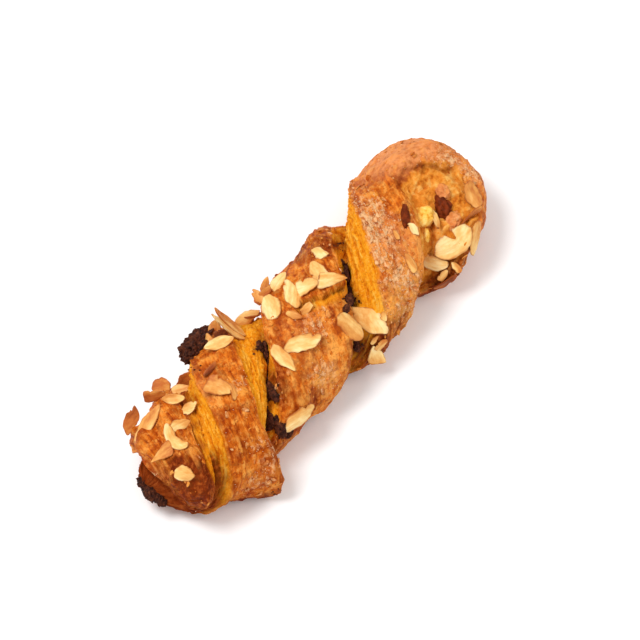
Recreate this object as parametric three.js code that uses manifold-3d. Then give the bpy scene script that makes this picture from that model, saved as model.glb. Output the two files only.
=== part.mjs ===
// Almond twist pastry. A strip of laminated dough is folded over a dark filling, so that a thin and a
// thick leaf lie on each other, joined by the fold at one end and open at the other. The strip is twisted
// left-handed, baked on a tray and strewn with almond flakes.
// Millimetres, +Z up, +X along the twist towards the fold, origin under the twist's axis on the tray.
import * as THREE from 'three';
import { mergeVertices } from 'three/addons/utils/BufferGeometryUtils.js';
import Module from 'manifold-3d';

// Sections of the strip: crown on the outside, shoulders at the two cut edges, flat base on the filling.
// Pairs are the sizes at the two cut edges. Heights are measured from the middle of the filling.
const THIN_LEAF = { width: [24, 23], shoulder: [9, 6], crown: [25, 25], base: [21, 21] };
const THICK_LEAF = { width: [21.5, 16], shoulder: [12, 16], crown: [28.5, 28.5], base: [21, 21] };
const FOLD = { width: [21, 22.5], shoulder: [14, 21], crown: [28.2, 28.2], base: [16, 20] };
const CROWN_EXPONENT = 0.85;    // of the curve over the crown: 1 is an ellipse, 0 a rectangle
const BASE_EXPONENT = 0.45;     // of the curve from a shoulder to the base
const HALF_GAP = 0.9;           // half the space between the leaves
const FOLD_HALF_GAP = 7;        // the same in the eye of the fold, where the leaves stand apart

// Unevenness of the soft dough: share of a section's size, and lengths over which it changes
const LUMP_SHARE = 0.02;
const LUMP_LENGTH = 6.1;
const LUMP_DRIFT = 9;

// Length of the strip
const THIN_END_X = -101;
const THICK_END_X = -102.5;
const END_ROUNDING = 14;        // length over which a leaf's open end closes
const END_SLANT = 0.1;          // how far the open ends of the leaves are cut askew
const END_SLANT_LENGTH = 30;
const END_TAPER = 0.22;         // share of its height that the thick leaf loses at its open end
const END_TAPER_LENGTH = 42;
const NEAR_EDGE_X = [-100, -70]; // where the near cut edge changes towards the open end
const THIN_DROOP = 1.5;         // how far the thin leaf comes out there
const THICK_RETREAT = 5;        // how far the thick leaf stays back under it
const JOINED_X = [-96, -60];    // where the leaves' near edges join towards the open end
const JOINED_REACH = 24;        // from the middle of the strip to that seam
const FAR_EDGE_X = 62;          // where the thick leaf's edge is drawn in on the way to the fold
const FAR_EDGE_LENGTH = 13;
const FAR_EDGE_RETREAT = 1.2;
const FOLD_X = 76.5;            // middle of the fold's eye
const FOLD_BLEND = 40;          // length over which the leaves grow into the fold
const FOLD_ARC = 24;            // middle radius of the fold
const FOLD_STRETCH = 1.27;      // how far the fold is drawn out along the twist
const FOLD_EXPONENT = 0.84;     // of its outline seen from above
const FOLD_SWAY = 5;            // how far its tip lies to the far side
const FOLD_SWAY_X = [55, 110];  // where the sway begins and ends

// Twist: stations where a cut edge faces straight up, half a turn apart, from the fold to past the open end
const EDGE_UP_X = [84, 29, -26.5, -76, -112];
const AXIS_HEIGHT = 19.5;       // the filling's middle line above the tray
const SAG = 0.82;               // height that the soft strip keeps when it lies on the tray
const SPREAD = 1.06;            // width that it gains
const FOOT_ROUNDING = 5;        // softness of the bend into the flat underside
const FOOT_TRIM = 2.2;          // what the flat underside cuts off

// Corner of the thick leaf that has run out on the tray
const CORNER_X = -65;
const CORNER_REACH = 20;
const CORNER_DROP = 8;
const CORNER_TO_OPEN_END = 31;  // its length on either side
const CORNER_TO_FOLD = 11;

// Filling: a ribbon between the leaves, with its edges in the grooves
const FILLING_END_X = THICK_END_X + 1;
const FILLING_FOLD_X = FOLD_X - 14;
const FILLING_HALF = 1.05;      // half the ribbon's thickness, pressed into both leaves
const FILLING_FOLD_HALF = 6.1;  // the same in the eye of the fold
const FILLING_REACH = 17.5;     // from the middle of the strip to the ribbon's edge
const FILLING_CLEARANCE = 0.4;  // between the filling and the dough around it
const FILLING_EXPONENT = 0.6;   // of the ribbon's section
const FILLING_CLOSING = 0.04;   // share of its length over which an end closes
const EDGE_SWELL = 0.5;         // how much thicker the ribbon is at its edges
const EDGE_SWELL_EXPONENT = 4;  // how close to the edges it swells

// Where the filling comes out or stays back: half turns from the fold, cut edge, extra reach, half length
const FILLING_LUMPS = [
  { turns: 0.8, edge: -1, extra: 3, spread: 0.05 },
  { turns: 0.98, edge: -1, extra: 3, spread: 0.06 },
  { turns: 1.16, edge: -1, extra: 4, spread: 0.07 },
  { turns: 1.4, edge: -1, extra: 3.5, spread: 0.06 },
  { turns: 1.93, edge: 1, extra: 4, spread: 0.05 },
  { turns: 2.2, edge: 1, extra: 4, spread: 0.06 },
  { turns: 2.39, edge: 1, extra: 4, spread: 0.07 },
  { turns: 3.0, edge: -1, extra: -5, spread: 0.35 },
  { turns: 3.5, edge: -1, extra: -9, spread: 0.2 },
  { turns: 3.6, edge: 1, extra: -3, spread: 0.2 },
];

// Crumbs baked on: a clod of filling on the far flank, and the crumb that fills the eye of the fold
const CLOD_AT = [-39, 29, 26.5];
const CLOD_RADII = [10, 6.5, 6];
// The latter lies in lumps: station, reach from the strip's middle to the cut edge that faces up, radii
const EYE_CRUMBS = [[FOLD_X, 4, [20, 11, 14.5]], [64, 7, [11, 10.5, 10.5]]];
const CRUMB_DETAIL = 2;
const CRUMB_ROUGHNESS = 0.2;
const CRUMB_RIDGES = [7, 6, 8];

// Almond flakes, as seen from the side they were strewn from: along and across the twist, turn in degrees,
// length, width, and lean in degrees off the crust. Places are measured from a point on the twist's axis.
const STREWN_AZIMUTH = -50.8;
const STREWN_ELEVATION = 60;
const STREWN_ORIGIN = new THREE.Vector3(0, 0, 20);
const FLAKE_THICKNESS = 1.3;
const FLAKE_SUNK = 0.75;
const FLAKE_BELLY = 0.68;       // half width of the curve's handles as a share of the flake's width
const FLAKE_WAIST = 0.4;        // where the handles of the pointed end lie along the flake
const STANDING_LEAN = 60;       // a flake that leans more than this leans off the line of sight
const UPRIGHT_LEAN = 66;        // and one that leans more than this stands on its end
const UPRIGHT_RISE = 20;        // how far it rises towards the side the flakes came from, in degrees
const UPRIGHT_SUNK = 2;
const OVERHANG = 0.22;          // share of a flake's size by which it may hang over the edge
const FACING = 0.35;            // how far the others turn from the crust towards the side they came from
const LEAN_LIFT = 0.8;          // share of a leaning flake's half height that stands clear of the crust
const EDGE_STEP = 0.5;          // step back towards the axis for a flake that hangs over the edge
const FLAKES = [
  [-79, 27.8, 10, 10.5, 6.5, 38], [-76.5, 22.2, 10.5, 20, 6.6, 10], [-68.1, 29, -39, 10, 6, 50],
  [-61.4, 29.6, -50, 9, 7.2, 25], [-52.2, 30.3, -3, 13, 6.8, 28], [-62.2, 21.2, -57, 11, 5, 40],
  [-56.7, 21.2, -41, 9, 4.6, 40], [-59.5, 13.2, -35, 6.6, 5.2, 12], [-72.2, 10.8, -90, 16, 5.2, 5],
  [-66.6, 11.1, -18, 10, 5, 22], [-81.8, 8.7, 170, 12, 6, 8], [-83, -4, -50, 9.6, 7.4, 4],
  [-44.5, 11, -70, 12, 8.5, 6], [-41.6, 5.2, 60, 8.5, 3.2, 25], [-41.3, 18.2, 15, 9, 4, 45],
  [-30, 22.9, -22, 14.5, 5.6, 20], [-27.5, 30.5, 40, 9.5, 6, 30], [-27.1, 26.2, 0, 7, 4.6, 20],
  [-23.2, 28.6, 96, 20, 8, 66], [-21.2, 29.6, 92, 20, 8, 70], [-14.1, 26.5, -12, 12.5, 6.2, 48],
  [-10.8, 30.5, 142, 10, 5, 35], [1.5, 27.6, 30, 8, 3.8, 30], [-4, 27.2, 60, 6.4, 5.2, 20],
  [-14.1, 21.9, 20, 10.5, 6, 18], [-2.8, 17.5, 80, 14, 9.2, 4], [7.7, 22.9, 30, 12, 5.6, 14],
  [7.3, 15.7, 42, 11, 8, 10], [14.8, 12.9, -32, 10.5, 7.4, 12], [22.6, 14.8, 75, 10.8, 8, 8],
  [29, 18.9, 80, 6.8, 5.6, 6], [25.6, 5.6, -35, 13.5, 8, 16], [6.6, 6.1, 8, 7, 3.8, 14],
  [-15.8, -0.6, -93, 15.5, 6.2, 6], [-5.3, -2.8, -40, 15, 8, 6], [-29.3, -24.9, -18, 14.5, 7.6, 8],
  [14.8, -14.6, 100, 16, 9.6, 4], [22.6, -17.2, 75, 14, 11, 4], [13, -29, 62, 10.5, 9, 15],
  [18.8, -28.1, 5, 7, 4.4, 15], [53.6, -13, 75, 9.8, 4.2, 5], [61.3, -18.8, -62, 14, 6.4, 6],
  [73.9, -20.2, 0, 18, 9, 8], [95.3, -12.4, 66, 13, 7.8, 8], [76.2, -9.6, 74, 11.3, 3.4, 50],
  [82.7, -27.4, 34, 16, 7, 18], [88.2, -18.4, -5, 12.5, 4, 65], [60.2, -30.8, -12, 13, 3.4, 40],
];

// Mesh fineness
const DOUGH_ROWS = 112;
const DOUGH_AROUND = 26;
const FILLING_ROWS = 56;
const FILLING_AROUND = 12;
const OUTLINE_SEGMENTS = 4;
const WELD = 1e-3;
const TRAY_BOX = 400;

const wasm = await Module();
wasm.setup();

const bell = (offset, spread) => Math.exp(-((offset / spread) ** 2));
const mix = THREE.MathUtils.lerp;
const rise = THREE.MathUtils.smoothstep;
const clamp = THREE.MathUtils.clamp;
const radians = THREE.MathUtils.degToRad;
const signedPower = (value, exponent) => Math.sign(value) * Math.abs(value) ** exponent;
const rounded = (share) => Math.sqrt(1 - (1 - clamp(share, 0, 1)) ** 2);

// Half turns between the fold and a station on the axis, on a smooth curve through the edge-up stations.
function halfTurns(x) {
  const last = EDGE_UP_X.length - 1;
  const slope = (k) => {
    const a = Math.max(k - 1, 0);
    const b = Math.min(k + 1, last);
    return (b - a) / (EDGE_UP_X[b] - EDGE_UP_X[a]);
  };
  if (x >= EDGE_UP_X[0]) return (x - EDGE_UP_X[0]) * slope(0);
  if (x <= EDGE_UP_X[last]) return last + (x - EDGE_UP_X[last]) * slope(last);
  const k = EDGE_UP_X.findIndex((station) => station < x) - 1;
  const span = EDGE_UP_X[k + 1] - EDGE_UP_X[k];
  const t = (x - EDGE_UP_X[k]) / span;
  const ease = t * t * (3 - 2 * t);
  return k + ease + span * t * (1 - t) * (slope(k) * (1 - t) - slope(k + 1) * t);
}

const foldShare = (x) => rise(x, FOLD_X - FOLD_BLEND, FOLD_X);

// A point of the strip: p across it towards a cut edge, q out from the filling, turned with the twist.
function twisted(x, p, q) {
  const angle = Math.PI * (0.5 + halfTurns(x));
  const y = p * Math.cos(angle) - q * Math.sin(angle);
  const z = p * Math.sin(angle) + q * Math.cos(angle);
  return new THREE.Vector3(x, SPREAD * y, AXIS_HEIGHT + SAG * z);
}

// The tip of the fold lies askew, and the underside settles on the tray.
function settled(point) {
  point.y += FOLD_SWAY * rise(point.x, ...FOLD_SWAY_X);
  point.z = (point.z + Math.hypot(point.z, FOOT_ROUNDING)) / 2 - FOOT_TRIM;
  return point;
}

// The strip's path: along the thin leaf, round the fold and back along the thick leaf.
const THIN_RUN = FOLD_X - THIN_END_X;
const THICK_RUN = FOLD_X - THICK_END_X;
const FOLD_PATH = Math.PI * FOLD_ARC;
const PATH = THIN_RUN + FOLD_PATH + THICK_RUN;

// How far a station lies in the corner that has run out: 1 at its tip.
function cornerShare(x) {
  const offset = x - CORNER_X;
  return clamp(1 - (offset < 0 ? -offset / CORNER_TO_OPEN_END : offset / CORNER_TO_FOLD), 0, 1);
}

function doughPoint(share, angle) {
  const distance = share * PATH;
  const bend = Math.PI * clamp((distance - THIN_RUN) / FOLD_PATH, 0, 1);
  const x = bend < Math.PI ? Math.min(THIN_END_X + distance, FOLD_X) : THICK_END_X + PATH - distance;
  const toEnd = Math.min(distance, PATH - distance);
  const thick = rise(bend, 0, Math.PI);
  const nearFold = foldShare(x);
  const side = rise(Math.cos(angle), -1, 1);
  const size = (name) => {
    const at = (section) => mix(section[name][0], section[name][1], side);
    return mix(mix(at(THIN_LEAF), at(THICK_LEAF), thick), at(FOLD), nearFold);
  };

  const corner = cornerShare(x) * thick * side;
  const nearEdge = (1 - rise(x, ...NEAR_EDGE_X)) * (1 - side);
  const farEdge = bell(x - FAR_EDGE_X, FAR_EDGE_LENGTH) * (1 - side) * thick;
  const joined = (1 - rise(x, ...JOINED_X)) * (1 - side);
  const moved = nearEdge * mix(THIN_DROOP, -THICK_RETREAT, thick) - FAR_EDGE_RETREAT * farEdge;
  const width = size('width') + CORNER_REACH * corner + moved;
  const base = mix(size('base'), JOINED_REACH, joined);
  const taper = 1 - END_TAPER * thick * (1 - rise(PATH - distance, 0, END_TAPER_LENGTH));
  const shoulder = (size('shoulder') - CORNER_DROP * corner) * taper;
  const crown = size('crown') * taper;
  const gap = mix(HALF_GAP, FOLD_HALF_GAP, nearFold);
  const ripple = Math.sin(distance / LUMP_LENGTH) * Math.cos(2 * angle + distance / LUMP_DRIFT);
  const lumps = 1 + LUMP_SHARE * ripple;
  const outward = Math.max(Math.sin(angle), 0) ** CROWN_EXPONENT;
  const inward = Math.max(-Math.sin(angle), 0) ** BASE_EXPONENT;
  const closing = rounded(toEnd / END_ROUNDING);
  const middle = (crown + gap) / 2;
  const height = shoulder + (crown - shoulder) * lumps * outward - (shoulder - gap) * inward;
  const across = signedPower(Math.cos(angle), CROWN_EXPONENT);
  const p = mix(width, base, inward) * across * lumps * closing;
  const q = mix(middle, height, closing);
  const slant = END_SLANT * (1 - rise(toEnd, 0, END_SLANT_LENGTH));
  const point = twisted(x + slant * p, p, q * signedPower(Math.cos(bend), FOLD_EXPONENT));
  point.x += FOLD_STRETCH * q * Math.sin(bend) ** FOLD_EXPONENT;
  return settled(point);
}

function fillingPoint(share, angle, grow) {
  const x = mix(FILLING_END_X - grow, FILLING_FOLD_X + grow, share);
  const across = signedPower(Math.cos(angle), FILLING_EXPONENT);
  const out = signedPower(Math.sin(angle), FILLING_EXPONENT);
  const turns = halfTurns(x);
  const nearFold = foldShare(x);
  let reach = FILLING_REACH;
  for (const lump of FILLING_LUMPS) {
    if (lump.edge * across > 0) reach += lump.extra * bell(turns - lump.turns, lump.spread);
  }
  const half = mix(FILLING_HALF, FILLING_FOLD_HALF, nearFold);
  const swell = 1 + EDGE_SWELL * across ** EDGE_SWELL_EXPONENT * (1 - nearFold);
  const closing = rounded(Math.min(share, 1 - share) / FILLING_CLOSING);
  return settled(twisted(x, (reach + grow) * across * closing, (half * swell + grow) * out * closing));
}

// A closed surface with rounded ends: a sphere whose poles are the ends and whose rings are the sections.
// It is mirrored, so that the edges across its quads run with the twist, and its faces are turned out again.
function swept(around, rows, pointAt) {
  const geometry = new THREE.SphereGeometry(1, around, rows);
  const { position, uv } = geometry.attributes;
  for (let i = 0; i < position.count; i++) {
    const pole = uv.getY(i) === 0 || uv.getY(i) === 1;
    const point = pointAt(1 - uv.getY(i), pole ? 0 : uv.getX(i) * 2 * Math.PI);
    position.setXYZ(i, point.x, point.y, point.z);
  }
  geometry.index.array.reverse();
  return geometry;
}

function solidOf(geometry) {
  const bare = geometry.clone();
  bare.deleteAttribute('normal');
  bare.deleteAttribute('uv');
  const merged = mergeVertices(bare, WELD);
  const vertProperties = merged.attributes.position.array;
  const triVerts = new Uint32Array(merged.index.array);
  return new wasm.Manifold(new wasm.Mesh({ numProp: 3, vertProperties, triVerts }));
}

function geometryOf(solid) {
  const { numProp, vertProperties, triVerts } = solid.getMesh();
  const geometry = new THREE.BufferGeometry();
  geometry.setAttribute('position', new THREE.BufferAttribute(new Float32Array(vertProperties), numProp));
  geometry.setIndex(new THREE.BufferAttribute(triVerts, 1));
  geometry.computeVertexNormals();
  return geometry;
}

// A craggy crumb: a ball with bumps that depend on the direction.
function crumb(centre, radii) {
  const geometry = new THREE.IcosahedronGeometry(1, CRUMB_DETAIL);
  const { position } = geometry.attributes;
  const point = new THREE.Vector3();
  for (let i = 0; i < position.count; i++) {
    point.fromBufferAttribute(position, i);
    const [a, b, c] = CRUMB_RIDGES;
    point.multiplyScalar(1 + CRUMB_ROUGHNESS * Math.sin(a * point.x) * Math.cos(b * point.y + c * point.z));
    position.setXYZ(i, point.x, point.y, point.z);
  }
  return geometry.scale(...radii).translate(...centre);
}

// An almond slice: round at one end, pointed at the other.
function almondOutline(length, width) {
  const tip = length / 2;
  const waist = tip * FLAKE_WAIST;
  const side = width * FLAKE_BELLY;
  const outline = new THREE.Shape();
  outline.moveTo(-tip, 0);
  outline.bezierCurveTo(-tip, -side, waist, -side, tip, 0);
  outline.bezierCurveTo(waist, side, -tip, side, -tip, 0);
  return outline;
}

// The view that the flakes are laid out in: along the twist, across it, and back towards the viewer.
function strewnView() {
  const a = radians(STREWN_AZIMUTH);
  const e = radians(STREWN_ELEVATION);
  const back = new THREE.Vector3(Math.sin(a) * Math.cos(e), -Math.cos(a) * Math.cos(e), Math.sin(e));
  const along = new THREE.Vector3(1, 0, 0).addScaledVector(back, -back.x).normalize();
  return { back, along, across: back.clone().cross(along) };
}

// Where the line of sight meets the crust. A line that passes the crust by is moved in over it.
function sighted(along, across, crust, view) {
  const start = STREWN_ORIGIN.clone().addScaledVector(view.back, TRAY_BOX);
  start.addScaledVector(view.along, along).addScaledVector(view.across, across);
  const [hit] = new THREE.Raycaster(start, view.back.clone().negate()).intersectObject(crust);
  if (!hit) return sighted(along, across - Math.sign(across) * EDGE_STEP, crust, view);
  return { point: hit.point, normal: hit.face.normal, across };
}

// A flake laid on the crust where its line of sight meets it, leaning about its own long axis. Beyond the
// crust's edge it hangs over.
function laidFlake([along, across, turn, length, width, lean], long, crust, view) {
  const met = sighted(along, across, crust, view);
  const level = met.normal.clone().addScaledVector(view.back, FACING).normalize();
  const normal = lean < STANDING_LEAN ? level : view.back;
  const heading = radians(turn);
  const tilt = radians(lean);
  long.addScaledVector(normal, -long.dot(normal)).normalize();
  const extent = Math.abs(length * Math.sin(heading)) + Math.abs(width * Math.cos(heading) * Math.cos(tilt));
  const most = OVERHANG * extent;
  const lift = width / 2 * Math.sin(tilt) * LEAN_LIFT - FLAKE_SUNK;
  const over = clamp(across - met.across - lift * normal.dot(view.across), -most, most);
  const centre = met.point.addScaledVector(view.across, met.across === across ? 0 : over);
  return { normal, centre: centre.addScaledVector(normal, lift) };
}

// A flake that stands on its end, rising towards the side that the flakes came from.
function uprightFlake([along, across, turn, length], long, crust, view) {
  const heading = radians(turn);
  const half = length / 2;
  const foot = sighted(along - half * Math.cos(heading), across - half * Math.sin(heading), crust, view);
  const up = radians(UPRIGHT_RISE);
  const normal = view.back.clone().multiplyScalar(Math.cos(up)).addScaledVector(long, -Math.sin(up));
  long.multiplyScalar(Math.cos(up)).addScaledVector(view.back, Math.sin(up));
  return { normal, centre: foot.point.addScaledVector(long, half - UPRIGHT_SUNK) };
}

function flake(row, crust, view) {
  const [, , turn, length, width, lean] = row;
  const long = view.along.clone().multiplyScalar(Math.cos(radians(turn)));
  long.addScaledVector(view.across, Math.sin(radians(turn)));
  const { normal, centre } = (lean < UPRIGHT_LEAN ? laidFlake : uprightFlake)(row, long, crust, view);
  const up = normal.clone().applyAxisAngle(long, radians(lean));
  const place = new THREE.Matrix4().makeBasis(long, up.clone().cross(long), up).setPosition(centre);
  const options = { depth: FLAKE_THICKNESS, bevelEnabled: false, curveSegments: OUTLINE_SEGMENTS };
  return new THREE.ExtrudeGeometry(almondOutline(length, width), options).applyMatrix4(place);
}

function traySolid() {
  return solidOf(new THREE.BoxGeometry(TRAY_BOX, TRAY_BOX, TRAY_BOX).translate(0, 0, -TRAY_BOX / 2));
}

function fillingSolid(grow) {
  return solidOf(swept(FILLING_AROUND, FILLING_ROWS, (share, angle) => fillingPoint(share, angle, grow)));
}

function largestBody(solid) {
  return solid.decompose().reduce((best, body) => (body.volume() > best.volume() ? body : best));
}

function doughSolid() {
  const strip = swept(DOUGH_AROUND, DOUGH_ROWS, doughPoint);
  const crust = new THREE.Mesh(strip);
  const view = strewnView();
  const toppings = FLAKES.map((row) => flake(row, crust, view));
  toppings.push(crumb(CLOD_AT, CLOD_RADII));
  for (const [x, reach, radii] of EYE_CRUMBS) {
    toppings.push(crumb(settled(twisted(x, reach, 0)).toArray(), radii));
  }
  let solid = solidOf(strip);
  for (const topping of toppings) solid = solid.add(solidOf(topping));
  return largestBody(solid.subtract(fillingSolid(FILLING_CLEARANCE)).subtract(traySolid()));
}

const BAKED_DOUGH = new THREE.MeshStandardMaterial({ color: 0xc8742a, roughness: 0.6, metalness: 0 });
const DARK_FILLING = new THREE.MeshStandardMaterial({ color: 0x2e130b, roughness: 0.7, metalness: 0 });

function named(name, solid, material) {
  const mesh = new THREE.Mesh(geometryOf(solid), material);
  mesh.name = name;
  return mesh;
}

const almondTwist = new THREE.Group();
almondTwist.add(named('dough', doughSolid(), BAKED_DOUGH));
almondTwist.add(named('filling', largestBody(fillingSolid(0).subtract(traySolid())), DARK_FILLING));

export default almondTwist;
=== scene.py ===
"""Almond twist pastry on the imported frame: fine dough, dark filling, almond flakes, sugar and crumbs.

The dough and the filling are finer copies of the frame's solids, made by the same formulas, with the relief
of the baked crust and of the torn crumb on them. Lengths are millimetres, and meshes are made in metres.
"""
import itertools
import math

import bpy
import numpy as np
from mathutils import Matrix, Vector
from mathutils.bvhtree import BVHTree


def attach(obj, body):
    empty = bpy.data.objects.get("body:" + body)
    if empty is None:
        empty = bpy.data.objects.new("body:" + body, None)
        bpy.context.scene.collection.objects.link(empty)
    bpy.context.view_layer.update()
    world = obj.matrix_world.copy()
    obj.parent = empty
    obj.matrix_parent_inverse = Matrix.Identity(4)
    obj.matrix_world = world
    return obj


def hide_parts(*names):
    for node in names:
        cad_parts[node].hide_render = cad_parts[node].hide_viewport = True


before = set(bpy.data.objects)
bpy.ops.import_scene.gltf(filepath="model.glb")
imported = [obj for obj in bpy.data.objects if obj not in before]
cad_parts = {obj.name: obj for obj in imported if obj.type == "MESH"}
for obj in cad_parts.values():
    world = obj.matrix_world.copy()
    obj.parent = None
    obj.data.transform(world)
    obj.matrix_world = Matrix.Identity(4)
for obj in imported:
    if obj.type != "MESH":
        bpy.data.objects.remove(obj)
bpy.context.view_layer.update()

MM = 0.001

# The strip's sections, as in the frame's source. Pairs are the sizes at the two cut edges.
THIN_LEAF = {"width": (24, 23), "shoulder": (9, 6), "crown": (25, 25), "base": (21, 21)}
THICK_LEAF = {"width": (21.5, 16), "shoulder": (12, 16), "crown": (28.5, 28.5), "base": (21, 21)}
FOLD = {"width": (21, 22.5), "shoulder": (14, 21), "crown": (28.2, 28.2), "base": (16, 20)}
CROWN_EXPONENT = 0.85
BASE_EXPONENT = 0.45
EYE_HALF_GAP = 3.2              # what is left of the eye where crumb fills it
LUMP_SHARE = 0.02
LUMP_LENGTH = 6.1
LUMP_DRIFT = 9
THIN_END_X = -101
THICK_END_X = -102.5
END_ROUNDING = 14
END_SLANT = 0.1
END_SLANT_LENGTH = 30
END_TAPER = 0.22
END_TAPER_LENGTH = 42
NEAR_EDGE_X = (-100, -70)
THIN_DROOP = 1.5
THICK_RETREAT = 5
JOINED_X = (-96, -60)           # where the leaves' near edges join towards the open end
JOINED_REACH = 24
FAR_EDGE_X = 62
FAR_EDGE_LENGTH = 13
FAR_EDGE_RETREAT = 1.2
FOLD_X = 76.5
FOLD_BLEND = 40
FOLD_ARC = 24
FOLD_STRETCH = 1.27
FOLD_EXPONENT = 0.84
FOLD_SWAY = 5
FOLD_SWAY_X = (55, 110)
EDGE_UP_X = np.array([84, 29, -26.5, -76, -112])
AXIS_HEIGHT = 19.5
SAG = 0.82
SPREAD = 1.06
FOOT_ROUNDING = 5
FOOT_TRIM = 2.2
CORNER_X = -65
CORNER_REACH = 20
CORNER_DROP = 8
CORNER_TO_OPEN_END = 31
CORNER_TO_FOLD = 11
FILLING_END_X = THICK_END_X + 1
FILLING_FOLD_X = FOLD_X - 14
FILLING_HALF = 1.05
FILLING_FOLD_HALF = 6.1
FILLING_REACH = 17.5
FILLING_EXPONENT = 0.6
FILLING_CLOSING = 0.04
EDGE_SWELL = 0.5
EDGE_SWELL_EXPONENT = 4
FILLING_LUMPS = [   # half turns from the fold, cut edge, extra reach, half length
    (0.98, -1, 2, 0.06), (1.16, -1, 4, 0.07), (1.4, -1, 3.5, 0.06),
    (1.93, 1, 4, 0.05), (2.2, 1, 4, 0.06), (2.39, 1, 4, 0.07),
    (3.0, -1, -5, 0.35), (3.5, -1, -9, 0.2), (3.6, 1, -3, 0.2),
]
CLOD_AT = (-39, 29, 26.5)
CLOD_RADII = (10, 6.5, 6)

# The photo's view: places on the crust are given along and across the twist as seen from there.
VIEW_AZIMUTH = -50.8
VIEW_ELEVATION = 60
VIEW_ORIGIN = np.array([0.0, 0.0, 20.0])
VIEW_AIM = np.array([7.22, -2.22, 22.42])   # what the middle of the image shows
VIEW_SPAN = 284.2                           # what the image shows from side to side at the aim
CAMERA_DISTANCE = 2500.0
SENSOR = 36.0


# Small helpers

def bell(offset, spread):
    return np.exp(-((offset / spread) ** 2))


def mix(a, b, share):
    return a + (b - a) * share


def rise(x, low, high):
    t = np.clip((x - low) / (high - low), 0, 1)
    return t * t * (3 - 2 * t)


def signed_power(value, exponent):
    return np.sign(value) * np.abs(value) ** exponent


def rounded(share):
    return np.sqrt(1 - (1 - np.clip(share, 0, 1)) ** 2)


def unit(vectors):
    return vectors / np.maximum(np.linalg.norm(vectors, axis=-1, keepdims=True), 1e-9)


def view_axes():
    """The photo's view: back towards the viewer, along the twist and across it."""
    a, e = math.radians(VIEW_AZIMUTH), math.radians(VIEW_ELEVATION)
    back = np.array([math.sin(a) * math.cos(e), -math.cos(a) * math.cos(e), math.sin(e)])
    along = unit(np.array([1.0, 0, 0]) - back * back[0])
    return back, along, np.cross(back, along)


BACK, ALONG, ACROSS = view_axes()


class Noise:
    """Smooth noise, mostly from -1 to 1, with one lattice cell to the unit."""

    TABLE = 256
    GAIN = 1.7

    def __init__(self, seed):
        rng = np.random.default_rng(seed)
        self.order = rng.permutation(self.TABLE)
        self.slopes = unit(rng.normal(size=(self.TABLE, 3)))

    def __call__(self, points):
        cell = np.floor(points).astype(int)
        part = points - cell
        ease = part ** 3 * (part * (part * 6 - 15) + 10)
        total = np.zeros(points.shape[:-1])
        for corner in itertools.product((0, 1), repeat=3):
            at = (cell + corner) % self.TABLE
            pick = self.order[at[..., 0]]
            pick = self.order[(pick + at[..., 1]) % self.TABLE]
            pick = self.order[(pick + at[..., 2]) % self.TABLE]
            weight = np.prod(np.where(corner, ease, 1 - ease), axis=-1)
            total += weight * np.sum(self.slopes[pick] * (part - corner), axis=-1)
        return total * self.GAIN


SEEDS = 1 << 16


def drawn_seed(rng):
    return int(rng.integers(SEEDS))


def shares_and_angles(rows, around):
    """Shares of the way from end to end, without the ends, and the angles of the points around."""
    share = np.linspace(0, 1, rows + 2)[1:-1, None]
    return share, np.linspace(0, 2 * np.pi, around, endpoint=False)[None, :]


# The twist

def half_turns(x):
    """Half turns between the fold and a station, on a smooth curve through the edge-up stations."""
    last = len(EDGE_UP_X) - 1
    index = np.arange(last + 1)
    before, after = np.maximum(index - 1, 0), np.minimum(index + 1, last)
    slope = (after - before) / (EDGE_UP_X[after] - EDGE_UP_X[before])
    k = np.clip(np.searchsorted(-EDGE_UP_X, -x, side="right") - 1, 0, last - 1)
    span = EDGE_UP_X[k + 1] - EDGE_UP_X[k]
    t = (x - EDGE_UP_X[k]) / span
    inner = k + t * t * (3 - 2 * t) + span * t * (1 - t) * (slope[k] * (1 - t) - slope[k + 1] * t)
    turns = np.where(x >= EDGE_UP_X[0], (x - EDGE_UP_X[0]) * slope[0], inner)
    return np.where(x <= EDGE_UP_X[-1], last + (x - EDGE_UP_X[-1]) * slope[last], turns)


def twisted(x, p, q):
    angle = np.pi * (0.5 + half_turns(x))
    y = p * np.cos(angle) - q * np.sin(angle)
    z = p * np.sin(angle) + q * np.cos(angle)
    return np.stack(np.broadcast_arrays(x, SPREAD * y, AXIS_HEIGHT + SAG * z), -1)


def settled(points):
    x, y, z = points[..., 0], points[..., 1], points[..., 2]
    y = y + FOLD_SWAY * rise(x, *FOLD_SWAY_X)
    z = (z + np.hypot(z, FOOT_ROUNDING)) / 2 - FOOT_TRIM
    return np.stack([x, y, z], -1)


def fold_share(x):
    return rise(x, FOLD_X - FOLD_BLEND, FOLD_X)


# The dough

THIN_RUN = FOLD_X - THIN_END_X
THICK_RUN = FOLD_X - THICK_END_X
FOLD_PATH = math.pi * FOLD_ARC
PATH = THIN_RUN + FOLD_PATH + THICK_RUN


def corner_share(x):
    offset = x - CORNER_X
    return np.clip(1 - np.where(offset < 0, -offset / CORNER_TO_OPEN_END, offset / CORNER_TO_FOLD), 0, 1)


CLOSED_HALF_GAP = -0.7          # the leaves touch where no filling comes out
OPEN_HALF_GAP = 0.7


def half_gap(x, angle, near_fold):
    """Half the space between the leaves at a cut edge."""
    turns = half_turns(x)
    opened = 0
    for at, edge, extra, spread in FILLING_LUMPS:
        if extra > 0:
            opened = opened + bell(turns - at, spread) * (edge * np.cos(angle) > 0)
    return mix(mix(CLOSED_HALF_GAP, OPEN_HALF_GAP, np.clip(opened, 0, 1)), EYE_HALF_GAP, near_fold)


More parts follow.
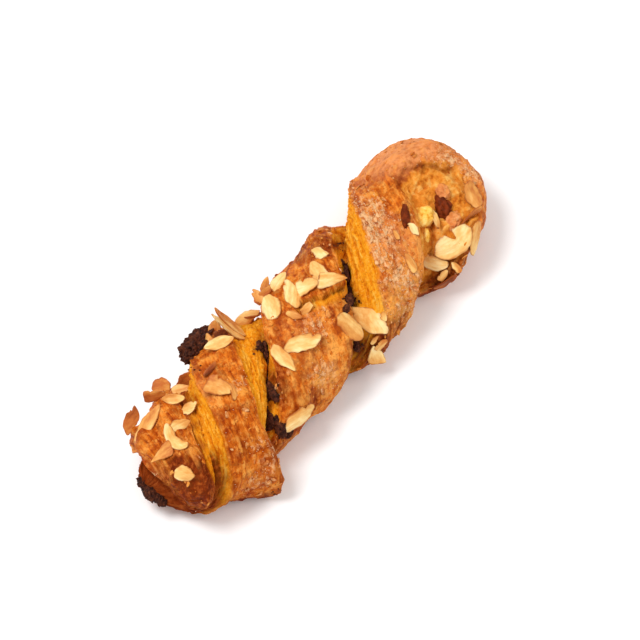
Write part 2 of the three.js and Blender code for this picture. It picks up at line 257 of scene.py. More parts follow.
def strip_section(distance, angle):
    """Where a point of the strip lies in its section, and what that place is like."""
    bend = np.pi * np.clip((distance - THIN_RUN) / FOLD_PATH, 0, 1)
    x = np.where(bend < np.pi, np.minimum(THIN_END_X + distance, FOLD_X), THICK_END_X + PATH - distance)
    to_end = np.minimum(distance, PATH - distance)
    thick = rise(bend, 0, np.pi)
    near_fold = fold_share(x)
    side = rise(np.cos(angle), -1, 1)

    def size(name):
        thin, heavy, fold = (mix(*leaf[name], side) for leaf in (THIN_LEAF, THICK_LEAF, FOLD))
        return mix(mix(thin, heavy, thick), fold, near_fold)

    corner = corner_share(x) * thick * side
    near_edge = (1 - rise(x, *NEAR_EDGE_X)) * (1 - side)
    far_edge = bell(x - FAR_EDGE_X, FAR_EDGE_LENGTH) * (1 - side) * thick
    moved = near_edge * mix(THIN_DROOP, -THICK_RETREAT, thick) - FAR_EDGE_RETREAT * far_edge
    width = size("width") + CORNER_REACH * corner + moved
    base = mix(size("base"), JOINED_REACH, (1 - rise(x, *JOINED_X)) * (1 - side))
    taper = 1 - END_TAPER * thick * (1 - rise(PATH - distance, 0, END_TAPER_LENGTH))
    shoulder = (size("shoulder") - CORNER_DROP * corner) * taper
    crown = size("crown") * taper
    gap = half_gap(x, angle, near_fold)
    lumps = 1 + LUMP_SHARE * np.sin(distance / LUMP_LENGTH) * np.cos(2 * angle + distance / LUMP_DRIFT)
    outward = np.maximum(np.sin(angle), 0) ** CROWN_EXPONENT
    inward = np.maximum(-np.sin(angle), 0) ** BASE_EXPONENT
    closing = rounded(to_end / END_ROUNDING)
    height = shoulder + (crown - shoulder) * lumps * outward - (shoulder - gap) * inward
    across = signed_power(np.cos(angle), CROWN_EXPONENT)
    p = mix(width, base, inward) * across * lumps * closing
    q = mix((crown + gap) / 2, height, closing)
    return {"x": x, "bend": bend, "to_end": to_end, "thick": thick, "near_fold": near_fold, "side": side,
            "outward": outward, "inward": inward, "p": p, "q": q}


def strip_point(section):
    x, p, q, bend = (section[name] for name in ("x", "p", "q", "bend"))
    slant = END_SLANT * (1 - rise(section["to_end"], 0, END_SLANT_LENGTH))
    points = twisted(x + slant * p, p, q * signed_power(np.cos(bend), FOLD_EXPONENT))
    points[..., 0] += FOLD_STRETCH * q * np.maximum(np.sin(bend), 0) ** FOLD_EXPONENT
    return settled(points)


DOUGH_ROWS = 620
DOUGH_AROUND = 156
HIDDEN_BELOW = -0.72            # sine of the section angle below which the base lies on the filling
HIDDEN_WEIGHT = 0.2             # share of the columns' density that the hidden base gets
ANGLE_SAMPLES = 4000


def column_angles(count):
    """Section angles spaced evenly over the skin that shows, with the way round the section to each."""
    angle = np.linspace(-np.pi / 2, 1.5 * np.pi, ANGLE_SAMPLES)
    section = strip_section(np.full(1, PATH - THICK_RUN / 2), angle)
    step = np.hypot(np.gradient(section["p"]), np.gradient(section["q"]))
    girth = np.cumsum(step)
    crowded = np.cumsum(step * np.where(np.sin(angle) < HIDDEN_BELOW, HIDDEN_WEIGHT, 1))
    wanted = np.linspace(crowded[0], crowded[-1], count, endpoint=False)
    angles = np.interp(wanted, crowded, angle)
    return angles, np.interp(angles, angle, girth - girth[ANGLE_SAMPLES // 2])


def ring_normals(points):
    """Outward normals of a grid of rings that close on themselves."""
    down = np.gradient(points, axis=0)
    around = np.roll(points, -1, axis=1) - np.roll(points, 1, axis=1)
    normals = unit(np.cross(down, around))
    outward = points - points.mean(axis=1, keepdims=True)
    return normals * np.sign(np.sum(normals * outward))


def ring_faces(rows, around):
    """Quads between the rings and fans to the two pole points after them."""
    ring = np.arange(rows * around).reshape(rows, around)
    turned = np.roll(ring, -1, axis=1)
    quads = np.stack([ring[:-1], turned[:-1], turned[1:], ring[1:]], -1).reshape(-1, 4).tolist()
    first, last = rows * around, rows * around + 1
    fans = [[first, b, a] for a, b in zip(ring[0].tolist(), turned[0].tolist())]
    fans += [[last, a, b] for a, b in zip(ring[-1].tolist(), turned[-1].tolist())]
    return quads + fans


def photo_place(points):
    """Along and across the twist in the photo's view."""
    offset = points - VIEW_ORIGIN
    return offset @ ALONG, offset @ ACROSS


SPOT_FACING = (-0.15, 0.25)     # spots fade where the skin turns from the viewer


def spots(points, normals, rows):
    """Soft patches given in the photo's view: along, across, radius, amount. They lie on what faces it."""
    along, across = photo_place(points)
    total = np.zeros(along.shape)
    for spot_along, spot_across, radius, amount in rows:
        total += amount * bell(np.hypot(along - spot_along, across - spot_across), radius)
    return total * rise(normals @ BACK, *SPOT_FACING)


def right_of(points, line):
    """Distance to the right of a line in the photo's view, and the share of the way along it."""
    along, across = photo_place(points)
    (start_along, start_across), (end_along, end_across) = line
    ahead, aside = end_along - start_along, end_across - start_across
    length = math.hypot(ahead, aside)
    right = ((along - start_along) * aside - (across - start_across) * ahead) / length
    share = ((along - start_along) * ahead + (across - start_across) * aside) / length ** 2
    return right, share


def round_of(points, arc):
    """Distance outside an ellipse in the photo's view, and the bearing from its middle in degrees."""
    along, across = photo_place(points)
    middle_along, middle_across, half_length, half_width = arc
    ahead, aside = (along - middle_along) / half_length, (across - middle_across) / half_width
    outside = (np.hypot(ahead, aside) - 1) * (half_length + half_width) / 2
    return outside, np.degrees(np.arctan2(aside, ahead))


# Where the crust ends and the cut edge begins, as the height in the section: 1 at the crown, 0 at a shoulder.
# Pairs are the heights at the two cut edges.
CRUST_LINE = {
    "thin": (-0.45, -0.6), "thick": (0.42, 0.36), "thin_fold": (0.3, 0.1), "thick_fold": (0.3, -0.3),
}
CRUST_LINE_WANDER = (0.15, (7, 9, 1))
CRUST_LINE_FRAY = (0.09, (2.5, 4, 1))
WALL_BLEND = (-0.13, 0.1)       # how far from its line the crust turns into the cut edge
FAR_WALL_TURNS = (0.55, 1.25)   # half turns between which the thick leaf's near wall narrows
FAR_WALL_LINE = (0.62, 0.3)
LIP_HEIGHT = 0.9                # the crust's rim, a little above its line
LIP_ABOVE = 0.06
LIP_WIDTH = 0.09
LIP_MEAN = 0.5
LIP_VARIES = (0.7, (5, 20, 1), 3)
FOLD_LIP_LOSS = 0.7             # share of the rim that is missing round the fold

# Stations between which the strip changes
CHARRED_X = (-98, -90)          # its open end is burnt
CRUMPLED_X = (-84, -62)         # its crust is crumpled towards the open end
BROWNED_X = (-68, -60)          # its cut edge is browned towards the open end
SUGARED_X = (35, 70)            # its crust is paler and sugared towards the fold

# Layers of the relief
WARP_ALONG = (2, 7, 20)
WARP_ROUND = (2, 7, 60)
SWELL = (0.8, 10)
GRAIN = (0.22, 1.6)
SHEETS = (1, (11, 5, 1), 31)
CRUMPLE = (1.3, 9, 40)
SMALL_CRUMPLE = (0.9, 4.5, 45)
LONG_FIBRES = (0.6, (13, 2.4, 1))
LONG_FIBRE_WARP = 2             # they are warped more than the short ones
SHORT_FIBRES = (0.5, (5, 1.9, 1))
CRUMB_SWELL = (0.55, 5, 3)
CRUMB_GRAIN = (0.4, 1.7)
DISH_LUMPS = (0.8, 4.5, 7)
DISH_GRIT = (0.8, 2.4)
RAISED_GRAIN = (0.5, 1.6)
RAISED_CRUMB = (0.5, 1.7)

BLISTER_HEIGHT = 0.55
BLISTER_CELL = 4.2
BLISTER_FLOOR = -0.15           # between the blisters the crust is flat
SMALL_BLISTERS = 0.6            # height of the small ones against the large
SMALL_BLISTER_CELL = 2.1
SMALL_BLISTER_FLOOR = -0.2
SHEET_HEIGHT = 0.35             # step between the sheets of the crust
SHEET_EDGE = 0.05

# A flap of crust that ends over the crumb, along a line in the photo's view from one place to another
FLAP_LINE = ((4, 12.5), (29, -0.5))
FLAP_RAGGED = (0.9, 4, 50)
FLAP_FACING = (0, 0.3)
FLAP_END = 0.15                 # share of the line over which an end runs out
FLAP_EDGE = (-0.5, 0.6)
FLAP_STEP = 2.4
FLAP_FADE = 10
FLAP_WALL = 0.9                 # how much of what it leaves open is crumb
FLAP_WALL_FADE = (2, 7)
# Painted shadow: the crumb just under the flap's edge is darkened, fading away from the edge
FLAP_SHADOW = 0.8
FLAP_SHADOW_FADE = (0.4, 2.2)

# The groove round the fold's dish, an arc in the photo's view: its middle and half its length and width
DISH_GROOVE = (81.0, -2.0, 14.5, 18.5)
DISH_GROOVE_RAGGED = (1.2, 5, 55)
DISH_GROOVE_WIDTH = 0.9
DISH_GROOVE_DEPTH = 0.9
DISH_GROOVE_ENDS = (-35, 105)   # bearings in degrees, from the twist's length towards the far side
DISH_GROOVE_RUN_OUT = 25        # degrees over which an end runs out
# Painted shade: the crust along the groove is darkened
DISH_GROOVE_SHADE = 0.35
TERRACE_SHARE = 0.7             # the floor inside the groove, against its depth
TERRACE_STEP = 0.8
TERRACE_FADE = (1.5, 6)

# What the skin is like, as shares that its material reads
BROWNED_LINE = ((-80.7, -25.2), (-63.6, 3.0))   # the cut edge is browned between this and the open end
BROWNED_RAGGED = (2.5, 5, 70)
BROWNED_BLEND = (-4, 2)
CHARRED_RAGGED = (2, 4, 75)
CHARRED_MEAN = 0.65
CHARRED_VARIES = (0.4, 5, 80)
TOAST_MOTTLE = (0.2, 14, 11)
FOOT_TOAST = 0.7
FOOT_TOAST_HEIGHT = (1, 8)
EDGE_FROST = 0.4                # sugar along the crust's rim
EDGE_FROST_ABOVE = 0.14
EDGE_FROST_WIDTH = 0.14
EDGE_FROST_LEAST = 0.2
EDGE_FROST_PATCHES = (1, (14, 6, 1), 5)
EDGE_FROST_BLEND = (-0.2, 0.6)
FOLD_FROST = 0.12
FROST_SLOPE = (-0.2, 0.4)       # sugar lies on what faces up
WALL_FROST_LOSS = 0.85
FOLD_PALE = 0.3
SMEAR = 0.5                     # filling on the faces that the leaves turn to each other
SMEAR_INWARD = (0.9, 1.0)
SMEAR_MEAN = 0.4
SMEAR_VARIES = (0.5, 6, 9)
RAISED_MEAN = 0.5
RAISED_SHARE = 0.4
MOST_VALUE = 1.5

# Spots in the photo's view: along, across, radius, amount
TOASTED_SPOTS = [
    (-90, -21, 9, 0.8), (-86, -9, 10, 0.8), (-76, -6, 8, 0.8), (-73, -16, 6, 0.6), (-93, 6, 6, 0.4),
    (-101, 8, 5, 0.6), (-88, 24, 6, 0.6), (-57, 16, 5, 0.5), (-49, -26, 4, 0.5), (-40, -25, 6, 0.9),
    (-24, -5, 5, 0.9), (-29, -12, 5, 0.7), (-16, 10, 4, 0.6), (-21, -22, 7, 0.5), (6, -27, 7, 0.8),
    (14, -24, 6, 0.9), (21, -27, 6, 0.8), (24, 26, 6, 0.9), (34, 22, 5, 0.9), (37, 16, 4, 0.7),
    (78.4, 15.5, 3, 0.6), (88, 13, 2.6, 0.7), (94, 9, 2.6, 0.7), (97, 3, 2.6, 0.7), (97, -6, 2.6, 0.6),
    (-78, -14, 7, 0.8), (-71, -9, 5, 0.5), (18, -3, 5, 0.5), (30, -27, 6, 0.6), (52, -27, 6, 0.8),
    (60, -29, 6, 0.9), (69, -31, 6, 0.9), (78, -31, 6, 0.6), (-53, -15, 12, 0.2), (-16, 24, 6, 0.5),
    (-76, -29, 3, 0.6), (-71, -33, 3, 0.7), (-66, -37, 3, 0.8), (-60, -41, 3, 0.8), (-54, -37, 3, 0.6),
    (-50, -32, 3, 0.5), (66, 20, 5, 0.3), (72, 14, 4, 0.3), (-84, 1, 6, 0.4), (-79, 3, 4, 0.35),
    (-88, 6, 4, 0.25),
]
FROSTED_SPOTS = [
    (52, 7, 12, 0.8), (46, -12, 8, 0.7), (59, 16, 8, 0.5), (100, 6, 6, 0.9), (100, -6, 5, 0.8),
    (48, -19, 5, 0.7), (38, -25, 6, 0.8), (-50, -21, 6, 0.65), (-64, 0, 6, 0.55), (-37, 6, 4, 0.7),
    (-45, -4, 5, 0.3), (-58, -12, 6, 0.15), (4, -2, 8, 0.7), (-8, -18, 8, 0.6), (-62, -30, 5, 0.4),
    (-68, -29, 5, 0.4), (-57, -34, 5, 0.3), (-53, -28, 5, 0.4), (-92, 2, 4, 0.6), (72, 12, 7, -0.5),
]
PALE_SPOTS = [
    (86, 27, 14, 0.8), (98, 13, 9, 0.6), (101, -4, 8, 0.4), (74, 28, 8, 0.5), (52, 4, 14, 0.5),
    (44, -18, 9, 0.1), (-57, -33, 8, 0.1), (-92, 22, 5, 0.4), (-92, 2, 4, 0.8), (-50, 14, 7, 0.3),
    (0, 0, 10, 0.3), (-8, -22, 8, 0.3), (70, 19, 9, -0.6), (72, 8, 8, -0.6),
]
GOLDEN_SPOTS = [
    (40, -19, 9, 0.5), (33, -25, 7, 0.4), (-3, -12, 8, 0.2), (60, -14, 7, 0.3), (78, 4, 6, 0.25),
    (76, -10, 6, 0.2), (90, 0, 7, 0.3), (-22, -10, 4, 0.35), (-8, -20, 6, 0.4), (6, -16, 6, 0.4),
]
SMEARED_SPOTS = [
    (-20, 10, 2.5, 0.7), (-30, -8, 3.5, 0.8), (-38, -21, 4, 0.9), (31, 5, 2.5, 0.8), (24, -5, 4, 0.9),
    (10, -22, 5, 0.8),
]

BROAD, MIDDLE, FINE = Noise(1), Noise(2), Noise(3)


def layer(noise, points, height, cell, shift=0):
    """A layer of noise: its height, the size of its cells, and where in the noise it lies."""
    return height * noise(points / cell + shift)


def crust_line(section, flow):
    """The height in the section at which the crust ends, with a ragged edge."""
    x, thick, near_fold, side = (section[name] for name in ("x", "thick", "near_fold", "side"))
    thin_line, thick_line, thin_fold, thick_fold = (mix(*ends, side) for ends in CRUST_LINE.values())
    far_line = mix(*FAR_WALL_LINE, rise(half_turns(x), *FAR_WALL_TURNS))
    far_wall = (side < 0.5) & (x > 0)
    thick_line = np.where(far_wall, far_line, thick_line)
    line = mix(mix(thin_line, thick_line, thick), mix(thin_fold, thick_fold, thick), near_fold * side)
    return line + layer(MIDDLE, flow, *CRUST_LINE_WANDER) + layer(FINE, flow, *CRUST_LINE_FRAY)


def flap_share(points, facing):
    """How far a point lies in what the flap leaves open, and its distance from the flap's edge."""
    right, way = right_of(points, FLAP_LINE)
    right = right + layer(MIDDLE, points, *FLAP_RAGGED)
    ends = rise(way, 0, FLAP_END) * (1 - rise(way, 1 - FLAP_END, 1))
    return ends * facing * rise(right, *FLAP_EDGE), right


def groove_shares(points, facing):
    """How far a point lies in the groove round the dish, and on the floor inside it."""
    outside, bearing = round_of(points, DISH_GROOVE)
    outside = outside + layer(MIDDLE, points, *DISH_GROOVE_RAGGED)
    start, end = DISH_GROOVE_ENDS
    in_arc = facing * rise(bearing, start, start + DISH_GROOVE_RUN_OUT)
    in_arc = in_arc * (1 - rise(bearing, end - DISH_GROOVE_RUN_OUT, end))
    floor = rise(-outside, 0, TERRACE_STEP) * (1 - rise(-outside, *TERRACE_FADE))
    return in_arc * bell(outside, DISH_GROOVE_WIDTH), in_arc * floor


def browned_share(points):
    from_line, _ = right_of(points, BROWNED_LINE)
    return 1 - rise(from_line + layer(MIDDLE, points, *BROWNED_RAGGED), *BROWNED_BLEND)


def dough_skin(points, normals, flow, section):
    """The relief on the bare strip, and what it is made of."""
    level = section["outward"] - section["inward"]
    line = crust_line(section, flow)
    wall = 1 - rise(level, line + WALL_BLEND[0], line + WALL_BLEND[1])
    dish = section["near_fold"] * section["side"] * wall
    along, around = layer(BROAD, points, *WARP_ALONG), layer(BROAD, points, *WARP_ROUND)
    warp = np.stack([along, around, 0 * wall], -1)

    blisters = np.maximum(MIDDLE((points + warp) / BLISTER_CELL), BLISTER_FLOOR)
    small_blisters = np.maximum(FINE((points + warp) / SMALL_BLISTER_CELL), SMALL_BLISTER_FLOOR)
    blisters = blisters + SMALL_BLISTERS * small_blisters
    sheets = rise(layer(MIDDLE, flow + warp, *SHEETS), -SHEET_EDGE, SHEET_EDGE)
    crust_relief = layer(BROAD, points, *SWELL) + BLISTER_HEIGHT * blisters + SHEET_HEIGHT * sheets
    crust_relief = crust_relief + layer(FINE, points, *GRAIN)
    crumpling = layer(BROAD, points, *CRUMPLE) + layer(MIDDLE, points, *SMALL_CRUMPLE)
    crust_relief = crust_relief + (1 - rise(section["x"], *CRUMPLED_X)) * crumpling

    fibres = layer(MIDDLE, flow + LONG_FIBRE_WARP * warp, *LONG_FIBRES)
    fibres = fibres + layer(BROAD, flow + warp, *SHORT_FIBRES)
    wall_relief = fibres + layer(BROAD, points, *CRUMB_SWELL) + layer(FINE, points, *CRUMB_GRAIN)
    wall_relief += dish * (layer(BROAD, points, *DISH_LUMPS) + layer(MIDDLE, points, *DISH_GRIT))
    uneven = LIP_MEAN + layer(MIDDLE, flow, *LIP_VARIES)
    lip = LIP_HEIGHT * bell(level - line - LIP_ABOVE, LIP_WIDTH) * uneven
    lip = lip * (1 - FOLD_LIP_LOSS * section["near_fold"] * section["side"])
    relief = mix(crust_relief, wall_relief, wall) + lip

    facing = rise(normals @ BACK, *FLAP_FACING)
    under_flap, from_flap = flap_share(points, facing)
    relief -= FLAP_STEP * under_flap * (1 - rise(from_flap, FLAP_EDGE[1], FLAP_FADE))
    wall = np.maximum(wall, FLAP_WALL * under_flap * (1 - rise(from_flap, *FLAP_WALL_FADE)))
    groove, terrace = groove_shares(points, facing)
    relief -= DISH_GROOVE_DEPTH * (groove + TERRACE_SHARE * terrace)
    return relief, {
        "above_line": level - line, "wall": wall, "dish": dish, "blisters": blisters, "fibres": fibres,
        "under_flap": under_flap, "from_flap": from_flap, "groove": groove,
    }


def dough_values(points, normals, flow, section, skin):
    """What each point of the skin is like, by the names that its material reads."""
    x, height = points[..., 0], points[..., 2]
    wall = skin["wall"]
    charred = 1 - rise(x + layer(MIDDLE, points, *CHARRED_RAGGED), *CHARRED_X)
    charred = charred * (CHARRED_MEAN + layer(BROAD, points, *CHARRED_VARIES))
    browned = np.maximum(wall * browned_share(points) * (1 - rise(x, *BROWNED_X)), charred)
    # Browning of the skin, with painted shade added to it: a painted shadow under the flap's edge and painted
    # shade along the dish's groove
    toast_and_shade = layer(BROAD, points, *TOAST_MOTTLE) + FOOT_TOAST * (1 - rise(height, *FOOT_TOAST_HEIGHT))
    toast_and_shade = toast_and_shade + FLAP_SHADOW * skin["under_flap"] * (1 - rise(skin["from_flap"], *FLAP_SHADOW_FADE))
    toast_and_shade = toast_and_shade + DISH_GROOVE_SHADE * skin["groove"] + spots(points, normals, TOASTED_SPOTS)
    sugared = rise(x, *SUGARED_X)
    patches = rise(layer(MIDDLE, flow, *EDGE_FROST_PATCHES), *EDGE_FROST_BLEND)
    rim = bell(skin["above_line"] - EDGE_FROST_ABOVE, EDGE_FROST_WIDTH) * mix(EDGE_FROST_LEAST, 1, patches)
    frost = (EDGE_FROST * rim + FOLD_FROST * sugared) * rise(normals[..., 2], *FROST_SLOPE)
    frost = (frost + spots(points, normals, FROSTED_SPOTS)) * (1 - WALL_FROST_LOSS * wall)
    pale = (FOLD_PALE * sugared + spots(points, normals, PALE_SPOTS)) * (1 - wall)
    uneven = SMEAR_MEAN + layer(MIDDLE, points, *SMEAR_VARIES)
    smear = SMEAR * rise(section["inward"], *SMEAR_INWARD) * uneven
    smear = smear * (1 - browned) * rise(x, *CRUMPLED_X) + spots(points, normals, SMEARED_SPOTS) * wall
    on_crust = skin["blisters"] + layer(FINE, points, *RAISED_GRAIN)
    on_wall = skin["fibres"] + layer(FINE, points, *RAISED_CRUMB)
    raised = RAISED_MEAN + RAISED_SHARE * mix(on_crust, on_wall, wall) + spots(points, normals, GOLDEN_SPOTS)
    values = {"wall": wall, "toast_and_shade": toast_and_shade, "frost": frost, "smear": smear, "dish": skin["dish"],
              "browned": browned, "pale": pale, "raised": raised}
    return {name: np.clip(value, 0, MOST_VALUE) for name, value in values.items()}


def make_dough_grid():
    """The strip as a grid of rings with its relief, and what each point of it is like."""
    angles, girth = column_angles(DOUGH_AROUND)
    distance = np.linspace(0, 1, DOUGH_ROWS + 2)[1:-1, None] * PATH
    section = strip_section(distance, angles[None, :])
    points = strip_point(section)
    normals = ring_normals(points)
    shape = points.shape[:2]
    section = {name: np.broadcast_to(part, shape) for name, part in section.items()}
    flow = np.stack(np.broadcast_arrays(distance, girth[None, :], np.zeros(shape)), -1)
    relief, skin = dough_skin(points, normals, flow, section)
    points = points + normals * relief[..., None]
    points[..., 2] = np.maximum(points[..., 2], 0)
    normals = ring_normals(points)
    return points, normals, flow, dough_values(points, normals, flow, section, skin)


def mesh_piece(name, vertices, faces, material, values=None, flow=None):
    """A smooth mesh that rides on the pastry, with a float attribute for each named value."""
    mesh = bpy.data.meshes.new(name)
    mesh.from_pydata((np.asarray(vertices) * MM).tolist(), [], faces)
    mesh.polygons.foreach_set("use_smooth", np.ones(len(mesh.polygons), bool))
    for key, numbers in (values or {}).items():
        attribute = mesh.attributes.new(key, "FLOAT", "POINT")
        attribute.data.foreach_set("value", np.asarray(numbers, np.float32).ravel())
    if flow is not None:
        attribute = mesh.attributes.new("flow", "FLOAT_VECTOR", "POINT")
        attribute.data.foreach_set("vector", np.asarray(flow, np.float32).ravel())
    mesh.materials.append(material)
    mesh.update()
    piece = bpy.data.objects.new(name, mesh)
    bpy.context.scene.collection.objects.link(piece)
    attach(piece, "root")
    return piece


def with_poles(grid):
    """A grid's points in order, then the middle of its first and of its last ring."""
    flat = grid.reshape(-1, *grid.shape[2:])
    return np.concatenate([flat, grid[:1].mean(axis=1), grid[-1:].mean(axis=1)])


# Materials

def linear(value):
    return value / 12.92 if value <= 0.04045 else ((value + 0.055) / 1.055) ** 2.4


def colour(red, green, blue):
    """A colour named by its screen values from 0 to 255."""
    return tuple(linear(v / 255) for v in (red, green, blue)) + (1.0,)


class Look:
    """A material's node tree in short calls. Paints are sockets, or screen values from 0 to 255."""

    def __init__(self, name):
        self.material = bpy.data.materials.new(name)
        self.material.use_nodes = True
        self.tree = self.material.node_tree
        self.shader = self.tree.nodes["Principled BSDF"]

    def plug(self, socket, value):
        if isinstance(value, bpy.types.NodeSocket):
            self.tree.links.new(value, socket)
        else:
            socket.default_value = value

    def node(self, kind, inputs, **settings):
        node = self.tree.nodes.new("ShaderNode" + kind)
        for key, value in settings.items():
            setattr(node, key, value)
        for key, value in inputs.items():
            self.plug(node.inputs[key], value)
        return node

    def attribute(self, name, output="Fac"):
        return self.node("Attribute", {}, attribute_name=name).outputs[output]

    def coordinates(self):
        return self.node("TexCoord", {}).outputs["Object"]

    def noise(self, vector, scale, detail=3.0, rough=0.55, distortion=0.0):
        inputs = {"Vector": vector, "Scale": scale, "Detail": detail, "Roughness": rough,
                  "Distortion": distortion}
        return self.node("TexNoise", inputs).outputs["Fac"]

    def drawn_out(self, flow, along, across, *settings):
        """Noise along the strip, with its scales along and across it."""
        vector = self.node("Mapping", {"Vector": flow, "Scale": (along, across, 1)}).outputs["Vector"]
        return self.noise(vector, 1.0, *settings)

    def range(self, value, low, high, start=0.0, end=1.0):
        inputs = {"Value": value, "From Min": low, "From Max": high, "To Min": start, "To Max": end}
        return self.node("MapRange", inputs).outputs["Result"]

    def math(self, operation, a, b):
        return self.node("Math", {0: a, 1: b}, operation=operation).outputs["Value"]

    def plus(self, a, b):
        return self.math("ADD", a, b)

    def times(self, a, b):
        return self.math("MULTIPLY", a, b)

    def paint(self, value):
        return value if isinstance(value, bpy.types.NodeSocket) else colour(*value)

    def blend(self, share, a, b):
        inputs = {0: share, 6: self.paint(a), 7: self.paint(b)}
        return self.node("Mix", inputs, data_type="RGBA").outputs[2]

    def laid_on(self, under, mask, low, high, most, top):
        """A paint laid on another where a mask goes from low to high, up to a given share."""
        return self.blend(self.range(mask, low, high, 0, most), under, top)

    def ramp(self, share, *stops):
        node = self.node("ValToRGB", {"Fac": share})
        elements = node.color_ramp.elements
        while len(elements) < len(stops):
            elements.new(0.5)
        for element, (place, tint) in zip(elements, stops):
            element.position = place
            element.color = colour(*tint)
        return node.outputs["Color"]

    def bump(self, height, distance, strength):
        inputs = {"Strength": strength, "Distance": distance, "Height": height}
        return self.node("Bump", inputs).outputs["Normal"]

    def finish(self, tint, rough, specular, normal=None):
        sockets = {"Base Color": self.paint(tint), "Roughness": rough, "Specular IOR Level": specular}
        if normal is not None:
            sockets["Normal"] = normal
        for name, value in sockets.items():
            self.plug(self.shader.inputs[name], value)
        return self.material


def crust_paint(look, flow, grains, raised):
    """Baked crust, streaked along the strip and mottled, and how dark its streaks are."""
    patches, grain = grains
    pale = look.attribute("pale")
    drift = look.range(look.drawn_out(flow, 0.1, 0.16, 6, 0.68, 0.8), 0.35, 0.65, 0.28, 0.72)
    mottle = look.noise(look.coordinates(), 130, 6, 0.68)
    depth = look.plus(look.times(raised, 0.4), look.times(drift, 0.6))
    crust = look.ramp(depth, (0.36, (140, 48, 4)), (0.46, (198, 90, 12)), (0.54, (220, 116, 26)),
                      (0.66, (240, 160, 72)))
    crust = look.laid_on(crust, patches, 0.52, 0.68, 0.8, (242, 160, 74))
    crust = look.laid_on(crust, mottle, 0.55, 0.36, 0.75, (142, 52, 6))
    crust = look.laid_on(crust, mottle, 0.52, 0.68, 0.5, (236, 154, 62))
    cracks = look.times(look.range(grain, 0.47, 0.3, 0, 0.75), look.range(pale, 0.0, 1.0, 1.0, 0.3))
    crust = look.blend(cracks, crust, (124, 44, 4))
    bleached = look.times(pale, look.range(patches, 0.36, 0.6, 0.35, 1.0))
    return look.laid_on(crust, bleached, 0.0, 1.0, 0.85, (234, 152, 92)), drift


def crumb_paint(look, flow, pits, raised):
    """Torn crumb of the cut edges, in fibres along the strip, browned at the open end."""
    streaks = look.drawn_out(flow, 0.12, 0.36, 6, 0.72, 1.2)
    crumb = look.ramp(look.plus(look.times(raised, 0.3), look.times(streaks, 0.7)), (0.34, (192, 88, 2)),
                      (0.44, (228, 130, 12)), (0.54, (242, 156, 26)), (0.68, (252, 196, 86)))
    crumb = look.laid_on(crumb, pits, 0.46, 0.32, 0.75, (178, 78, 4))
    crumb = look.laid_on(crumb, pits, 0.54, 0.7, 0.6, (250, 196, 88))
    brown = look.ramp(streaks, (0.32, (84, 30, 4)), (0.5, (140, 56, 10)), (0.66, (190, 100, 44)))
    return look.blend(look.attribute("browned"), crumb, brown)


def dough_look():
    look = Look("baked_dough")
    flow = look.attribute("flow", "Vector")
    place = look.coordinates()
    wall = look.attribute("wall")
    raised = look.attribute("raised")
    patches = look.noise(place, 420, 5, 0.66)
    grain = look.noise(place, 1000, 4, 0.7)
    pits = look.noise(place, 680, 5, 0.7)
    crust, drift = crust_paint(look, flow, (patches, grain), raised)
    tint = look.blend(wall, crust, crumb_paint(look, flow, pits, raised))
    grit = look.ramp(look.plus(look.times(raised, 0.4), look.times(patches, 0.6)), (0.36, (156, 66, 12)),
                     (0.48, (220, 126, 42)), (0.56, (234, 150, 62)), (0.66, (246, 184, 100)))
    tint = look.laid_on(tint, look.attribute("dish"), 0.1, 0.7, 0.8, grit)
    # The toast value darkens the skin for real browning and for the painted shade under the flap and along
    # the dish's groove
    toast_and_shade = look.times(look.attribute("toast_and_shade"), look.range(drift, 0.3, 0.7, 1.3, 0.6))
    browning_and_shade_tint = look.ramp(patches, (0.36, (84, 24, 0)), (0.5, (114, 36, 2)), (0.64, (164, 74, 24)))
    tint = look.laid_on(tint, toast_and_shade, 0.1, 0.95, 0.92, browning_and_shade_tint)
    clumps = look.range(look.drawn_out(flow, 0.2, 0.3, 5, 0.7, 0.5), 0.45, 0.6, 0, 0.8)
    flecks = look.range(look.noise(place, 430, 3, 0.6), 0.47, 0.58, 0, 0.7)
    sugar = look.times(look.attribute("frost"), look.plus(flecks, clumps))
    tint = look.laid_on(tint, sugar, 0.3, 1.0, 0.9, (250, 198, 142))
    smear = look.times(look.attribute("smear"), look.range(patches, 0.3, 0.6, 0.5, 1.2))
    tint = look.laid_on(tint, smear, 0.2, 0.9, 0.9, (84, 30, 10))
    height = look.plus(look.times(grain, 0.5), look.times(patches, 0.8))
    height = look.plus(height, look.times(pits, wall))
    height = look.plus(height, look.times(sugar, 0.4))
    rough = look.range(look.plus(wall, patches), 0.3, 1.4, 0.42, 0.75)
    return look.finish(tint, rough, 0.05, look.bump(height, 0.001, 0.9))


def filling_look():
    look = Look("dark_filling")
    place = look.coordinates()
    lumps = look.noise(place, 420, 5, 0.7)
    specks = look.noise(place, 1500, 3, 0.7)
    tint = look.ramp(lumps, (0.32, (30, 10, 5)), (0.48, (62, 25, 13)), (0.6, (92, 44, 24)),
                     (0.74, (140, 80, 46)))
    tint = look.laid_on(tint, specks, 0.56, 0.72, 0.55, (150, 92, 56))
    height = look.plus(look.noise(place, 1300, 4, 0.65), lumps)
    rough = look.range(lumps, 0.3, 0.7, 0.45, 0.8)
    return look.finish(tint, rough, 0.15, look.bump(height, 0.0008, 0.9))


